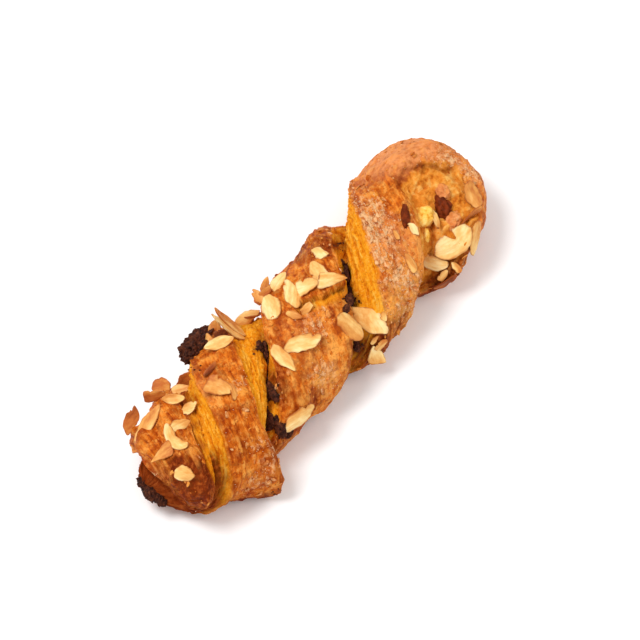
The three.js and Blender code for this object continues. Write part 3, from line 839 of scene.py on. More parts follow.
def almond_look():
    look = Look("almond")
    flow = look.attribute("flow", "Vector")
    grain = look.drawn_out(flow, 0.12, 0.9, 5, 0.65)
    clouds = look.drawn_out(flow, 0.16, 0.26, 4, 0.6)
    toasting = look.plus(look.attribute("tone"), look.range(clouds, 0.3, 0.7, -0.14, 0.2))
    tint = look.ramp(toasting, (0.0, (246, 214, 150)), (0.16, (238, 190, 114)), (0.36, (220, 150, 72)),
                     (0.56, (190, 104, 40)), (0.78, (146, 66, 22)), (1.0, (92, 38, 12)))
    tint = look.laid_on(tint, grain, 0.5, 0.72, 0.4, (204, 130, 58))
    edge = look.times(look.range(look.attribute("rim"), 0.5, 1.0), look.range(clouds, 0.35, 0.6, 0.3, 1.0))
    tint = look.laid_on(tint, edge, 0.0, 1.0, 0.9, (150, 72, 18))
    height = look.plus(grain, look.times(clouds, 0.5))
    return look.finish(tint, 0.5, 0.2, look.bump(height, 0.0005, 0.6))


def chocolate_look():
    look = Look("chocolate")
    place = look.coordinates()
    tint = look.ramp(look.noise(place, 500, 4, 0.6), (0.36, (84, 30, 8)), (0.6, (124, 50, 18)))
    return look.finish(tint, 0.5, 0.05, look.bump(look.noise(place, 1200, 3, 0.6), 0.0004, 0.5))


def yellow_look():
    look = Look("yellow_crumb")
    place = look.coordinates()
    tint = look.ramp(look.noise(place, 420, 5, 0.65), (0.34, (222, 140, 28)), (0.48, (250, 190, 78)),
                     (0.64, (255, 218, 128)))
    return look.finish(tint, 0.6, 0.1, look.bump(look.noise(place, 900, 4, 0.65), 0.0006, 0.7))


def sugar_look():
    look = Look("sugar")
    shade = look.noise(look.coordinates(), 700, 2)
    return look.finish(look.ramp(shade, (0.35, (236, 186, 132)), (0.65, (250, 224, 186))), 0.5, 0.2)


# Camera, floor and light

FLOOR_HALF = 3.0
FLOOR_DROP = 0.0002             # in metres, like its half width
FLOOR_COLOUR = (250, 250, 250)
FLOOR_ROUGH = 0.8
FLOOR_SPECULAR = 0.5
WORLD_STRENGTH = 0.7
# Place and size in metres, and watts
LAMPS = {"key": ((-0.5, 0.5, 1.5), 0.7, 18), "fill": ((0.6, -0.9, 1.2), 1.0, 5)}


def make_camera():
    camera = bpy.data.objects.new("camera", bpy.data.cameras.new("camera"))
    bpy.context.scene.collection.objects.link(camera)
    camera.data.sensor_width = SENSOR
    camera.data.lens = SENSOR * CAMERA_DISTANCE / VIEW_SPAN
    camera.data.clip_end = 2 * CAMERA_DISTANCE * MM
    back = Vector(BACK)
    camera.location = Vector(VIEW_AIM * MM) + back * CAMERA_DISTANCE * MM
    camera.rotation_mode = "QUATERNION"
    camera.rotation_quaternion = back.to_track_quat("Z", "Y")
    bpy.context.scene.camera = camera


def make_floor():
    corners = [(x * FLOOR_HALF, y * FLOOR_HALF, -FLOOR_DROP) for x, y in ((-1, -1), (1, -1), (1, 1), (-1, 1))]
    mesh = bpy.data.meshes.new("floor")
    mesh.from_pydata(corners, [], [(0, 1, 2, 3)])
    mesh.materials.append(Look("pale_floor").finish(FLOOR_COLOUR, FLOOR_ROUGH, FLOOR_SPECULAR))
    floor = bpy.data.objects.new("floor", mesh)
    bpy.context.scene.collection.objects.link(floor)


def make_light():
    world = bpy.data.worlds.new("studio")
    world.use_nodes = True
    background = world.node_tree.nodes["Background"]
    background.inputs["Color"].default_value = (1, 1, 1, 1)
    background.inputs["Strength"].default_value = WORLD_STRENGTH
    bpy.context.scene.world = world
    for name, (place, size, power) in LAMPS.items():
        light = bpy.data.lights.new(name, "AREA")
        light.size = size
        light.energy = power
        lamp = bpy.data.objects.new(name, light)
        lamp.location = place
        lamp.rotation_mode = "QUATERNION"
        lamp.rotation_quaternion = Vector(place).to_track_quat("Z", "Y")
        bpy.context.scene.collection.objects.link(lamp)
    bpy.context.scene.view_settings.view_transform = "Standard"


# Pieces strewn on the dough

class Heap:
    """Many small closed grids joined into one mesh."""

    def __init__(self):
        self.vertices, self.faces, self.flow, self.count = [], [], [], 0
        self.values = {}

    def add(self, grid, flow=None, **values):
        self.vertices.append(with_poles(grid))
        faces = ring_faces(*grid.shape[:2])
        self.faces += [[index + self.count for index in face] for face in faces]
        self.count += len(self.vertices[-1])
        if flow is not None:
            self.flow.append(with_poles(flow))
        for name, value in values.items():
            numbers = np.broadcast_to(value, grid.shape[:2])
            self.values.setdefault(name, []).append(with_poles(numbers))

    def piece(self, name, material, slot):
        values = {key: np.concatenate(parts) for key, parts in self.values.items()}
        flow = np.concatenate(self.flow) if self.flow else None
        return mesh_piece(name, np.concatenate(self.vertices), self.faces, material, values, flow)


class Crust:
    """What lies under a place in the photo's view."""

    REACH = 400.0
    STEP = 0.5

    def __init__(self, *pieces):
        vertices, faces = [], []
        for piece in pieces:
            start = len(vertices)
            vertices += [v.co / MM for v in piece.data.vertices]
            faces += [[start + index for index in polygon.vertices] for polygon in piece.data.polygons]
        self.tree = BVHTree.FromPolygons(vertices, faces)

    def sight(self, along, across):
        """Point and normal where the line of sight meets the crust, or None beside it."""
        start = VIEW_ORIGIN + ALONG * along + ACROSS * across + BACK * self.REACH
        point, normal, _, _ = self.tree.ray_cast(Vector(start), Vector(-BACK))
        return None if point is None else (np.array(point), np.array(normal))

    def moved_in(self, along, across):
        """A place, moved in until its line of sight meets the crust: across the twist, then along it."""
        while self.sight(along, across) is None:
            if abs(across) > self.STEP:
                across -= math.copysign(self.STEP, across)
            else:
                along -= math.copysign(self.STEP, along)
        return along, across

    def nearest(self, along, across):
        return self.sight(*self.moved_in(along, across))


def ball_grid(rows, around):
    polar = np.linspace(0, np.pi, rows + 2)[1:-1, None]
    turn = np.linspace(0, 2 * np.pi, around, endpoint=False)[None, :]
    parts = np.broadcast_arrays(np.sin(polar) * np.cos(turn), np.sin(polar) * np.sin(turn), np.cos(polar))
    return np.stack(parts, -1)


def tilted(normal, heading):
    """Axes with z along a normal and x towards a heading in degrees in the photo's view."""
    turn = math.radians(heading)
    ahead = ALONG * math.cos(turn) + ACROSS * math.sin(turn)
    ahead = unit(ahead - normal * (ahead @ normal))
    return np.stack([ahead, np.cross(normal, ahead), normal])


# Almond flakes

FLAKE_SEED = 31
FLAKE_RINGS = 34
FLAKE_AROUND = 30
FLAKE_THICKNESS = 1.0
TONE_GRADIENT = 0.3             # how much browner a flake is at one side than at the other
TONE_SPREAD = 0.05
FLOW_SPREAD = 100               # flakes lie this far apart in the almond's grain
FLAKE_SUNK = 0.25
LEAN_LIFT = 0.8
STANDING = 60                   # a flake that leans this much leans off the line of sight
UPRIGHT = 66                    # and one that leans this much stands on its end
UPRIGHT_RISE = 20               # how far it rises towards the viewer, in degrees
UPRIGHT_SUNK = 2
OVERHANG = 0.22                 # share of a flake's size by which it may hang over the crust's edge
FACING = 0.35                   # how far the others turn from the crust towards the viewer
EDGE_FACING = 1.6               # the same for one that hangs over the edge
FOOTPRINT = 0.34                # share of a flake's size at which the crust under it is felt
FOOTPRINT_DEPTH = 4.0           # crust further off than this doesn't carry it
RESTING = 0.75                  # how far a flake rests on the highest of the crust under it

# How blunt the two ends are, the bend of the flake in its plane, and how far its ends are cut askew
FLAKE_SHAPES = {
    "almond": (0.5, 0.8, 0, 0), "oval": (0.5, 0.5, 0, 0), "pointed": (0.8, 0.8, 0, 0.1),
    "slab": (0.12, 0.12, 0, 0.1), "half": (0.13, 0.5, 0, 0.1), "wedge": (0.12, 0.9, 0, 0.3),
    "hook": (0.3, 0.45, 2.3, 0), "banana": (0.42, 0.5, 1.2, 0), "rhomb": (0.22, 0.22, 0, 0.7),
    "sliver": (0.4, 0.6, 0.2, 0), "kidney": (0.4, 0.4, 1.3, 0),
}

# Notches in the edge: share of the length at their middle, half their length, depth
FLAKE_NOTCHES = {"kidney": (0.58, 0.09, 0.8), "half": (0.35, 0.05, 0.3), "rhomb": (0.7, 0.05, 0.25)}
NO_NOTCH = (0, 1, 0)

SIDE_EXPONENT = 0.55
FACE_EXPONENT = 0.6
FACE_ROUNDING = 2.5
EDGE_WAVES = ((0.2, 3.1), (0.1, 9.3))   # height against half the width, and cells to the length
END_WAVE = 0.5
END_WAVE_CELL = 2.5
DENT = 0.3
DENT_CELL = 4
CURL_ALONG = (-0.05, 0.09)      # against the length
CURL_ACROSS = (-0.1, 0.12)      # against the width
CURL_TWIST = (-0.9, 0.9)
RIM_EXPONENT = 3
RIM_END = 0.1                   # share of the length that an end's rim takes
# Where in a flake's noise its edges, ends and dents lie
EDGES_APART = 3
EDGE_LEVEL = 0.5
END_LEVEL = 7
DENT_LEVEL = 3

# Along, across, turn in degrees, length, width, lean in degrees, tone from pale to brown, shape
FLAKES = [
    (-79, 27.8, 10, 10.5, 6.5, 38, 0.52, "rhomb"), (-76.5, 22.2, 10.5, 20, 6.6, 10, 0.24, "almond"),
    (-68.1, 29, -39, 10, 6, 50, 0.62, "half"), (-61.4, 29.6, -50, 9, 7.2, 25, 0.48, "oval"),
    (-52.2, 30.3, -3, 13, 6.8, 28, 0.56, "oval"), (-62.2, 21.2, -57, 11, 5, 40, 0.3, "pointed"),
    (-56.7, 21.2, -41, 9, 4.6, 40, 0.3, "almond"), (-59.5, 13.2, -35, 6.6, 5.2, 12, 0.1, "rhomb"),
    (-72.2, 10.8, -90, 16, 5.2, 5, 0.12, "hook"), (-66.6, 11.1, -18, 10, 5, 22, 0.22, "almond"),
    (-81.8, 8.7, 170, 12, 6, 8, 0.36, "wedge"), (-80.8, -4.6, -50, 9.6, 7.4, 4, 0.2, "almond"),
    (-44.5, 11, -70, 12, 8.5, 14, 0.34, "half"), (-41.6, 5.2, 60, 8.5, 3.2, 25, 0.3, "banana"),
    (-41.3, 18.2, 15, 9, 2.6, 45, 0.62, "sliver"), (-30, 22.9, -22, 14.5, 5.6, 20, 0.16, "pointed"),
    (-33.6, 28, 15, 5.6, 4.4, 20, 0.26, "slab"), (-27.5, 30.5, 40, 9.5, 6, 30, 0.36, "almond"),
    (-27.1, 26.2, 0, 7, 4.6, 20, 0.95, "half"), (-23.2, 28.6, 96, 20, 8, 66, 0.14, "pointed"),
    (-21.2, 29.6, 92, 20, 8, 70, 0.4, "almond"), (-14.1, 26.5, -12, 12.5, 6.2, 30, 0.3, "almond"),
    (-10.8, 30.5, 142, 10, 5, 35, 0.72, "pointed"), (-3.7, 31.5, 20, 6, 4, 30, 0.42, "half"),
    (0.4, 30.5, -10, 6.5, 3.6, 30, 0.46, "slab"), (1.5, 27.6, 30, 8, 3.8, 30, 0.38, "almond"),
    (-4, 27.2, 60, 6.4, 5.2, 20, 0.3, "rhomb"), (-14.1, 21.9, 20, 10.5, 6, 18, 0.46, "half"),
    (-2.8, 17.5, 80, 14, 9.2, 4, 0.08, "oval"), (7.7, 22.9, 30, 12, 5.6, 14, 0.12, "almond"),
    (7.3, 15.7, 42, 11, 8, 10, 0.12, "rhomb"), (14.8, 12.9, -32, 10.5, 7.4, 12, 0.1, "half"),
    (22.6, 14.8, 75, 10.8, 8, 8, 0.12, "half"), (29, 18.9, 80, 6.8, 5.6, 6, 0.1, "slab"),
    (25.6, 5.6, -35, 13.5, 8, 16, 0.2, "wedge"), (1.2, 8, -70, 7.6, 3.4, 22, 0.5, "sliver"),
    (6.6, 6.1, 8, 7, 3.8, 14, 0.3, "slab"), (-15.8, -0.6, -93, 15.5, 6.2, 6, 0.14, "almond"),
    (-5.3, -2.8, -40, 15, 8, 6, 0.16, "rhomb"), (-29.3, -24.9, -18, 14.5, 7.6, 8, 0.2, "rhomb"),
    (14.8, -14.6, 100, 16, 9.6, 4, 0.36, "oval"), (22.6, -17.2, 75, 14, 11, 4, 0.18, "rhomb"),
    (13, -29, 62, 10.5, 9, 15, 0.14, "wedge"), (18.8, -28.1, 5, 7, 4.4, 15, 0.26, "half"),
    (53.6, -13, 75, 9.8, 4.2, 5, 0.36, "sliver"), (61.3, -18.8, -62, 14, 6.4, 6, 0.08, "banana"),
    (74.2, -20.4, -6, 20, 11.5, 8, 0.08, "kidney"), (95.3, -12.4, 66, 13, 7.8, 8, 0.4, "oval"),
    (76.2, -9.6, 74, 11.3, 3.4, 50, 0.22, "sliver"), (82.7, -27.4, 34, 16, 7, 18, 0.36, "oval"),
    (88.2, -18.4, -5, 12.5, 4, 65, 0.58, "sliver"), (60.7, -27.4, 10, 6, 4, 20, 0.4, "half"),
    (67, -29, 80, 6.5, 3, 20, 0.2, "sliver"), (60.2, -30.8, -12, 13, 3.4, 40, 0.7, "sliver"),
    (58.3, -0.1, 65, 5, 2.6, 10, 0.24, "sliver"), (65.4, -3.6, 60, 5.6, 4, 12, 0.02, "rhomb"),
    (18.2, -24.6, 10, 5, 2.4, 15, 0.2, "sliver"), (28.4, -20.6, 40, 4, 3, 10, 0.2, "half"),
]


def flake_grid(length, width, shape, rng):
    """A flake lying in its own plane, its places before it is bent, and how near they are to its edge."""
    start, end, bend, skew = FLAKE_SHAPES[shape]
    share = 0.5 - 0.5 * np.cos(np.pi * np.arange(1, FLAKE_RINGS + 1)[:, None] / (FLAKE_RINGS + 1))
    girth = share ** start * (1 - share) ** end
    girth = girth / girth.max()
    turn = np.linspace(0, 2 * np.pi, FLAKE_AROUND, endpoint=False)[None, :]
    side = signed_power(np.cos(turn), SIDE_EXPONENT)
    face = signed_power(np.sin(turn), FACE_EXPONENT)
    wobble = Noise(drawn_seed(rng))
    waves = 1
    for height, rate in EDGE_WAVES:
        edge = np.broadcast_arrays(share * rate, EDGES_APART * np.sign(side), EDGE_LEVEL)
        waves = waves + height * wobble(np.stack(edge, -1))
    place, spread, depth = FLAKE_NOTCHES.get(shape, NO_NOTCH)
    reach = width / 2 * girth * waves * (1 - depth * bell(share - place, spread) * (side > 0))
    y = reach * side
    ends = END_WAVE * wobble(np.stack([y / END_WAVE_CELL, 0 * y + END_LEVEL, 0 * y], -1))
    x = (share - 0.5) * length + skew * y + ends
    end_to_end, edge_to_edge = 2 * share - 1, y / (width / 2)
    curl = rng.uniform(*CURL_ALONG) * length * end_to_end ** 2
    curl = curl + rng.uniform(*CURL_ACROSS) * width * edge_to_edge ** 2
    curl = curl + rng.uniform(*CURL_TWIST) * end_to_end * edge_to_edge
    dent = DENT * wobble(np.stack([x / DENT_CELL, y / DENT_CELL, 0 * x + DENT_LEVEL], -1))
    z = FLAKE_THICKNESS / 2 * face * rounded(FACE_ROUNDING * girth) + curl + dent
    flat = np.stack([x, y, np.broadcast_to(side * girth, x.shape)], -1)
    if bend:
        radius = length / bend
        angle = x / radius
        x, y = (radius - y) * np.sin(angle), radius - (radius - y) * np.cos(angle)
        y = y - y.mean()
    rim = np.maximum(np.abs(side) ** RIM_EXPONENT, 1 - rise(np.minimum(share, 1 - share), 0, RIM_END))
    return np.stack([x, y, z], -1), flat, np.broadcast_to(rim, x.shape)


def carried(crust, along, across, turn, length, width):
    """Where a flake lies and which way it faces: on the crust that its footprint feels."""
    point, normal = crust.sight(along, across)
    heading = math.radians(turn)
    reach, spread = FOOTPRINT * length, FOOTPRINT * width
    felt = [(point, normal)]
    for ahead, aside in itertools.product((-reach, 0, reach), (-spread, spread)):
        hit = crust.sight(along + ahead * math.cos(heading) - aside * math.sin(heading),
                          across + ahead * math.sin(heading) + aside * math.cos(heading))
        if hit and abs((hit[0] - point) @ BACK) < FOOTPRINT_DEPTH:
            felt.append(hit)
    points, normals = (np.array(part) for part in zip(*felt))
    middle, normal = points.mean(axis=0), unit(normals.mean(axis=0))
    return middle + normal * RESTING * np.max((points - middle) @ normal), normal


def laid_flake(crust, row, ahead):
    """Long axis, normal and middle of a flake on the crust. Beyond the crust's edge it hangs over."""
    along, across, turn, length, width, lean = row[:6]
    along, met = crust.moved_in(along, across)
    point, normal = carried(crust, along, met, turn, length, width)
    facing = FACING if met == across else EDGE_FACING
    normal = BACK if lean >= STANDING else unit(normal + facing * BACK)
    heading, tilt = math.radians(turn), math.radians(lean)
    extent = abs(length * math.sin(heading)) + abs(width * math.cos(heading) * math.cos(tilt))
    lift = width / 2 * math.sin(tilt) * LEAN_LIFT + FLAKE_THICKNESS / 2 - FLAKE_SUNK
    over = np.clip(across - met - lift * (normal @ ACROSS), -OVERHANG * extent, OVERHANG * extent)
    if met != across:
        point = point + ACROSS * over
    return unit(ahead - normal * (ahead @ normal)), normal, point + normal * lift


def upright_flake(crust, row, ahead):
    """The same of a flake that stands on its end and rises towards the viewer."""
    along, across, turn, length = row[:4]
    heading, up = math.radians(turn), math.radians(UPRIGHT_RISE)
    foot, _ = crust.nearest(along - length / 2 * math.cos(heading), across - length / 2 * math.sin(heading))
    normal = BACK * math.cos(up) - ahead * math.sin(up)
    ahead = ahead * math.cos(up) + BACK * math.sin(up)
    return ahead, normal, foot + ahead * (length / 2 - UPRIGHT_SUNK)


def make_flakes(crust):
    heap = Heap()
    rng = np.random.default_rng(FLAKE_SEED)
    for row in FLAKES:
        _, _, turn, length, width, lean, tone, shape = row
        grid, flat, rim = flake_grid(length, width, shape, rng)
        heading, tilt = math.radians(turn), math.radians(lean)
        place = upright_flake if lean >= UPRIGHT else laid_flake
        ahead, normal, centre = place(crust, row, ALONG * math.cos(heading) + ACROSS * math.sin(heading))
        up = normal * math.cos(tilt) + np.cross(ahead, normal) * math.sin(tilt)
        axes = np.stack([ahead, np.cross(up, ahead), up])
        flow = flat + rng.uniform(0, FLOW_SPREAD, 3)
        browner = rng.uniform(0, 2 * math.pi)
        gradient = flat[..., 0] / length * math.cos(browner) + flat[..., 1] / width * math.sin(browner)
        tones = tone + TONE_GRADIENT * gradient + TONE_SPREAD * rng.normal()
        heap.add(grid @ axes + centre, flow, tone=tones, rim=rim)
    return heap.piece("almond_flakes", almond_look(), "dough")


# Lumps and crumbs

SMALL_BUMPS = 0.5               # height of a lump's small bumps against its large ones
SMALL_BUMP_RATE = 2.3
SMALL_BUMP_SHIFT = 5
# The dough's values where a piece made of it is plain crust
PLAIN_DOUGH = {
    "wall": 0.0, "toast_and_shade": 0.0, "frost": 0.0, "smear": 0.0, "dish": 0.0, "browned": 0.0, "pale": 0.0,
    "raised": 0.5,
}


def lump_grid(radii, rng, rough, grain, rows=26, around=36):
    """A craggy ball."""
    ball = ball_grid(rows, around)
    noise = Noise(drawn_seed(rng))
    bumps = noise(ball * grain) + SMALL_BUMPS * noise(ball * grain * SMALL_BUMP_RATE + SMALL_BUMP_SHIFT)
    return ball * np.array(radii) * (1 + rough * bumps)[..., None]


def crags(points, layers):
    """Layers of noise: seed, height, size of the cells."""
    return sum(height * Noise(seed)(points / cell) for seed, height, cell in layers)


def cragged(grid, layers):
    return grid + unit(grid) * crags(grid, layers)[..., None]


CLOD_SEED = 41
CLOD_LUMP = {"rough": 0.24, "grain": 2.6, "rows": 80, "around": 120}
CLOD_CRAGS = [(42, 0.9, 2.4), (43, 0.5, 1.1)]


def make_clod():
    heap = Heap()
    grid = lump_grid(CLOD_RADII, np.random.default_rng(CLOD_SEED), **CLOD_LUMP)
    heap.add(cragged(grid, CLOD_CRAGS) + np.array(CLOD_AT))
    return heap.piece("filling_clod", filling_look(), "filling")


# The crumb that fills the fold's eye: station, reach towards the edge that faces up, radii
EYE_CRUMBS = [(FOLD_X, 4, (20, 11, 14.5)), (64, 7.5, (12, 11, 11.5))]
EYE_SEED = 51
EYE_LUMP = {"rough": 0.05, "grain": 3, "rows": 90, "around": 140}
EYE_CRAGS = [(52, 0.9, 4), (53, 0.5, 1.6)]
EYE_VALUES = dict(PLAIN_DOUGH, wall=1.0, dish=0.8, toast_and_shade=0.12)


def make_eye_crumb():
    heap = Heap()
    rng = np.random.default_rng(EYE_SEED)
    for x, reach, radii in EYE_CRUMBS:
        middle = settled(twisted(np.array(float(x)), np.array(float(reach)), np.array(0.0)))
        grid = cragged(lump_grid(radii, rng, **EYE_LUMP), EYE_CRAGS) + middle
        heap.add(grid, grid, **EYE_VALUES)
    return heap.piece("eye_crumb", dough_material, "dough")


# The crumb that fills the seam between the leaves at the open end, in the strip's section
SEAM_X = (-95, -56)
SEAM_MIDDLE = -15
SEAM_RADII = (8.2, 6.5)
SEAM_ROWS = 150
SEAM_AROUND = 60
SEAM_CLOSING = 0.3              # share of its length over which an end closes
SEAM_WARP = (2, 7)
SEAM_GRAIN = (0.5, 1.7)
SEAM_VALUES = dict(PLAIN_DOUGH, wall=1.0, toast_and_shade=0.1)


def make_seam():
    share, angle = shares_and_angles(SEAM_ROWS, SEAM_AROUND)
    x = mix(*SEAM_X, share)
    closing = rounded(np.minimum(share, 1 - share) / SEAM_CLOSING)
    points = settled(twisted(x, SEAM_MIDDLE + SEAM_RADII[0] * np.cos(angle) * closing,
                             SEAM_RADII[1] * np.sin(angle) * closing))
    flow = np.stack(np.broadcast_arrays(x, SEAM_RADII[1] * angle, 0.0), -1)
    warp = [layer(BROAD, points, *SEAM_WARP), layer(MIDDLE, points, *SEAM_WARP), 0 * points[..., 0]]
    warped = flow + np.stack(warp, -1)
    fibres = layer(MIDDLE, warped, *LONG_FIBRES) + layer(BROAD, warped, *SHORT_FIBRES)
    points = points + ring_normals(points) * (fibres + layer(FINE, points, *SEAM_GRAIN))[..., None]
    heap = Heap()
    heap.add(points, flow, **dict(SEAM_VALUES, raised=RAISED_MEAN + RAISED_SHARE * fibres,
                                  browned=browned_share(points)))
    return heap.piece("seam_crumb", dough_material, "dough")


# Lumps in the eye: along, across, turn, radii, how far their middle stands out
YELLOW_LUMPS = [(72.8, -4.8, 60, (5.6, 5.2, 4.8), 1.6), (68, -10, 40, (3.5, 2.6, 1.8), 0.4)]
TAN_LUMPS = [(87.2, -2.2, 70, (3.8, 3.0, 2.0), 0.3), (81.1, -14.4, 20, (4.8, 3.4, 2.0), 0.3)]
CHOCOLATE = [(82.1, -6.8, 75, (6.0, 4.2, 1.8), 0.9), (67.5, 2.7, 48, (5.2, 1.8, 1.3), 0.5)]
TAN_VALUES = dict(PLAIN_DOUGH, frost=0.4, pale=1.0, raised=0.7)
LUMP_FACING = 0.8               # how far a lump turns from the crust towards the viewer


def lump_heap(crust, rows, seed, rough, grain, **values):
    """Lumps that lie on the crust."""
    heap = Heap()
    rng = np.random.default_rng(seed)
    for along, across, turn, radii, out in rows:
        point, normal = crust.nearest(along, across)
        normal = unit(normal + LUMP_FACING * BACK)
        grid = lump_grid(radii, rng, rough, grain) @ tilted(normal, turn) + point + normal * out
        heap.add(grid, grid - point, **values)
    return heap


# Dark lumps in the grooves: along, across, turn in degrees, radii
DARK_LUMPS = [
    (-18.8, 9.6, 60, (3.0, 1.9, 1.5)), (-19.4, 5.4, 20, (1.9, 1.3, 1.0)),
    (-30.6, -5.6, 75, (3.0, 2.0, 1.6)), (-30.2, -9.6, 70, (2.8, 1.9, 1.5)),
    (-37.0, -17.5, 60, (3.2, 1.3, 1.2)), (-39.2, -22.0, 65, (3.8, 2.4, 1.8)),
    (-37.6, -25.6, 10, (2.6, 1.5, 1.2)), (33.4, 8.8, 55, (1.5, 0.8, 0.7)), (30.0, 3.8, 50, (3.2, 1.6, 1.3)),
    (26.4, -1.6, 46, (1.9, 1.2, 1.0)), (22.8, -4.8, 35, (3.2, 1.9, 1.5)), (19.4, -6.4, 10, (2.2, 1.5, 1.2)),
    (10.6, -21.0, 60, (2.8, 1.8, 1.2)), (-97.8, 6.0, 80, (3.4, 2.4, 1.8)),
    (-98.4, 1.0, 85, (4.4, 3.0, 2.2)), (-97.4, -4.4, 70, (3.4, 2.4, 1.8)),
]
# Dark crumbs: along, across, radius of the patch, count, size of a crumb
DARK_PATCHES = [
    (-20, 9.6, 2.4, 16, 0.6), (-30.3, -7.4, 3, 20, 0.6), (-38.5, -21.5, 3.5, 26, 0.6),
    (37.5, 15.5, 2.5, 14, 0.5), (31.1, 5.2, 3, 18, 0.5), (23.7, -4.4, 3.5, 24, 0.6),
    (10.4, -22.2, 3, 20, 0.5), (-101, 0, 4, 26, 0.7), (-60, -39, 3.5, 16, 0.4), (62, -32, 5, 12, 0.4),
    (-47, 27, 6, 20, 0.5), (78, -33, 6, 10, 0.4),
]
DARK_SEED = 61
DARK_LUMP = {"rough": 0.3, "grain": 3.2, "rows": 24, "around": 32}
DARK_LUMP_CRAG = (0.5, 0.9)     # height, size of the cells
DARK_LUMP_FACING = 0.5
DARK_LUMP_OUT = 0.15            # share of its height by which a lump stands out
DARK_CRUMB = {"rough": 0.45, "grain": 2.6, "rows": 9, "around": 12}
DARK_CRUMB_SIZE = (0.3, 1.0)
DARK_CRUMB_SHAPE = (0.6, 1.3)
DARK_CRUMB_OUT = 0.2


def make_dark_crumbs(crust):
    heap = Heap()
    rng = np.random.default_rng(DARK_SEED)
    for along, across, turn, radii in DARK_LUMPS:
        point, normal = crust.nearest(along, across)
        grid = lump_grid(radii, rng, **DARK_LUMP)
        grid = cragged(grid, [(drawn_seed(rng), *DARK_LUMP_CRAG)])
        axes = tilted(unit(normal + DARK_LUMP_FACING * BACK), turn)
        heap.add(grid @ axes + point + BACK * radii[2] * DARK_LUMP_OUT)
    for along, across, radius, count, size in DARK_PATCHES:
        for _ in range(count):
            away = rng.normal(0, radius / 2, 2)
            hit = crust.sight(along + away[0], across + away[1])
            radii = size * rng.uniform(*DARK_CRUMB_SIZE) * rng.uniform(*DARK_CRUMB_SHAPE, 3)
            grid = lump_grid(radii, rng, **DARK_CRUMB)
            spin = rng.uniform(0, 360)
            if hit:
                heap.add(grid @ tilted(hit[1], spin) + hit[0] + hit[1] * radii[2] * DARK_CRUMB_OUT)
    return heap.piece("filling_crumbs", filling_look(), "filling")


SUGAR_SEED = 71
SUGAR_GRAINS = 1400
SUGAR_SIZE = (0.1, 0.26)
SUGAR_LEAST_FROST = 0.12        # grains lie where the crust is frosted more than this
SUGAR_SCATTER = 0.3
SUGAR_OUT = 0.1
GRAIN_TIPS = np.array([(1, 0, 0), (0, 1, 0), (-1, 0, 0), (0, -1, 0), (0, 0, 1), (0, 0, -1)], float)


def make_sugar(points, normals, frost):
    """Small crystals where the crust is frosted."""
    rng = np.random.default_rng(SUGAR_SEED)
    weight = np.clip(frost - SUGAR_LEAST_FROST, 0, 1).ravel()
    pick = rng.choice(weight.size, SUGAR_GRAINS, p=weight / weight.sum())
    centre = points.reshape(-1, 3)[pick] + rng.normal(0, SUGAR_SCATTER, (SUGAR_GRAINS, 3))
    centre = centre + normals.reshape(-1, 3)[pick] * SUGAR_OUT
    size = rng.uniform(*SUGAR_SIZE, (SUGAR_GRAINS, 1, 3))
    spin = np.linalg.qr(rng.normal(size=(SUGAR_GRAINS, 3, 3)))[0]
    corners = (GRAIN_TIPS * size) @ spin + centre[:, None]
    top, bottom = 4, 5
    faces = [[k, (k + 1) % 4, top] for k in range(4)] + [[(k + 1) % 4, k, bottom] for k in range(4)]
    faces = np.array(faces)[None] + len(GRAIN_TIPS) * np.arange(SUGAR_GRAINS)[:, None, None]
    faces = faces.reshape(-1, 3).tolist()
    return mesh_piece("sugar_grains", corners.reshape(-1, 3), faces, sugar_look())


CHIP_SEED = 91
CRUST_CHIPS = 700
CHIP_LUMP = {"rough": 0.4, "grain": 2.0, "rows": 5, "around": 9}
CHIP_SIZE = (0.7, 2.4)
CHIP_SIZE_SHARE = (0.4, 1.0)
CHIP_WIDTH_SHARE = (0.35, 0.7)
CHIP_THICKNESS = 0.22
CHIP_BASE = 0.1                 # how likely chips are where nothing is frosted
CHIP_SLOPE = (-0.3, 0.3)        # they lie on what faces up
CHIP_TILT = 0.22
CHIP_TURN = 0.5
CHIP_PALE_SPREAD = 0.3
CHIP_PALEST = 1.3
CHIP_FROST = 1.2
CHIP_TOAST = (0, 0.2)
CHIP_RAISED = (0.55, 0.9)


def make_chips(points, normals, flow, values):
    """Thin chips that the baked skin has broken into, most of them where it is frosted."""
    rng = np.random.default_rng(CHIP_SEED)
    ahead = unit(np.gradient(points, axis=0)).reshape(-1, 3)
    frost = values["frost"]
    likely = (CHIP_BASE + np.clip(frost, 0, 1)) * (1 - values["wall"]) * rise(normals[..., 2], *CHIP_SLOPE)
    weight = likely.ravel()
    heap = Heap()
    for pick in rng.choice(weight.size, CRUST_CHIPS, p=weight / weight.sum()):
        normal = unit(normals.reshape(-1, 3)[pick] + CHIP_TILT * rng.normal(size=3))
        long = unit(ahead[pick] + CHIP_TURN * rng.normal(size=3))
        long = unit(long - normal * (long @ normal))
        size = rng.uniform(*CHIP_SIZE) * rng.uniform(*CHIP_SIZE_SHARE)
        radii = (size, size * rng.uniform(*CHIP_WIDTH_SHARE), CHIP_THICKNESS)
        grid = lump_grid(radii, rng, **CHIP_LUMP)
        grid = grid @ np.stack([long, np.cross(normal, long), normal]) + points.reshape(-1, 3)[pick]
        pale = np.clip(frost.ravel()[pick] + CHIP_PALE_SPREAD * rng.normal(), 0, CHIP_PALEST)
        toast_and_shade, raised = rng.uniform(*CHIP_TOAST), rng.uniform(*CHIP_RAISED)
        chip = dict(PLAIN_DOUGH, toast_and_shade=toast_and_shade, frost=CHIP_FROST * pale, pale=pale, raised=raised)
        heap.add(grid, flow.reshape(-1, 3)[pick] + grid, **chip)
    return heap.piece("crust_chips", dough_material, "dough")


# The filling

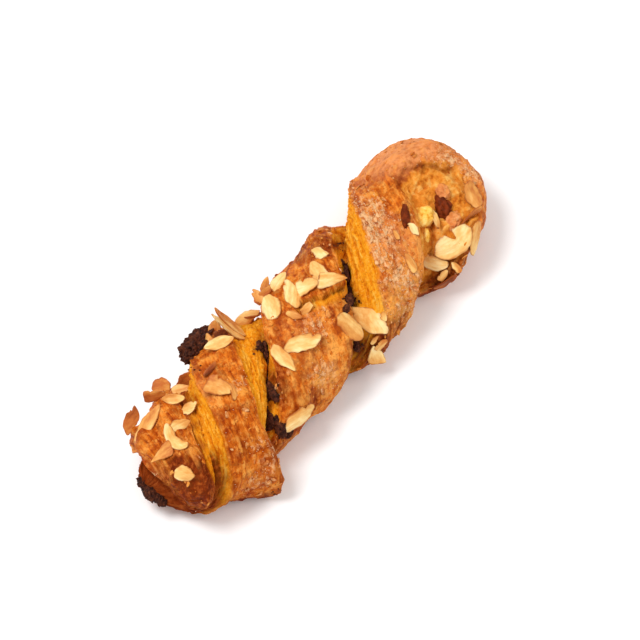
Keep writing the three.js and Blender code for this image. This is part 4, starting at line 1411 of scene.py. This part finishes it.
FILLING_ROWS = 420
FILLING_AROUND = 64
FILLING_SET_BACK = 12.5         # its reach where none of it comes out
FILLING_HIDDEN_END = 6          # how much shorter it is at the open end, where the leaves close over it
FILLING_CRAGS = [(21, 1.0, 3.2), (22, 0.5, 1.4)]


def make_filling_grid():
    share, angle = shares_and_angles(FILLING_ROWS, FILLING_AROUND)
    x = mix(FILLING_END_X + FILLING_HIDDEN_END, FILLING_FOLD_X, share)
    across = signed_power(np.cos(angle), FILLING_EXPONENT)
    out = signed_power(np.sin(angle), FILLING_EXPONENT)
    turns = half_turns(x)
    near_fold = fold_share(x)
    reach = FILLING_SET_BACK
    for at, edge, extra, spread in FILLING_LUMPS:
        come = extra + max(np.sign(extra), 0) * (FILLING_REACH - FILLING_SET_BACK)
        reach = reach + np.where(edge * across > 0, come * bell(turns - at, spread), 0)
    half = mix(FILLING_HALF, FILLING_FOLD_HALF, near_fold)
    swell = 1 + EDGE_SWELL * np.abs(across) ** EDGE_SWELL_EXPONENT * (1 - near_fold)
    closing = rounded(np.minimum(share, 1 - share) / FILLING_CLOSING)
    points = settled(twisted(x, reach * across * closing, half * swell * out * closing))
    height = crags(points, FILLING_CRAGS) * across ** 2
    points = points + ring_normals(points) * height[..., None]
    points[..., 2] = np.maximum(points[..., 2], 0)
    return points


make_camera()
make_floor()
make_light()

grid, normals, flow, values = make_dough_grid()
dough_material = dough_look()
dough = mesh_piece("dough_strip", with_poles(grid), ring_faces(DOUGH_ROWS, DOUGH_AROUND), dough_material,
                   {name: with_poles(value) for name, value in values.items()}, with_poles(flow))
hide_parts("dough")
filling = mesh_piece("filling_ribbon", with_poles(make_filling_grid()),
                     ring_faces(FILLING_ROWS, FILLING_AROUND), filling_look())
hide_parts("filling")

crust = Crust(dough, filling, make_eye_crumb(), make_seam())
lump_heap(crust, YELLOW_LUMPS, seed=81, rough=0.14, grain=1.8).piece("yellow_lumps", yellow_look(), "dough")
tan = lump_heap(crust, TAN_LUMPS, seed=83, rough=0.25, grain=2.2, **TAN_VALUES)
tan.piece("tan_lumps", dough_material, "dough")
lump_heap(crust, CHOCOLATE, seed=82, rough=0.3, grain=1.9).piece("chocolate", chocolate_look(), "filling")
make_clod()
make_flakes(crust)
make_dark_crumbs(crust)
make_sugar(grid, normals, values["frost"])
make_chips(grid, normals, flow, values)
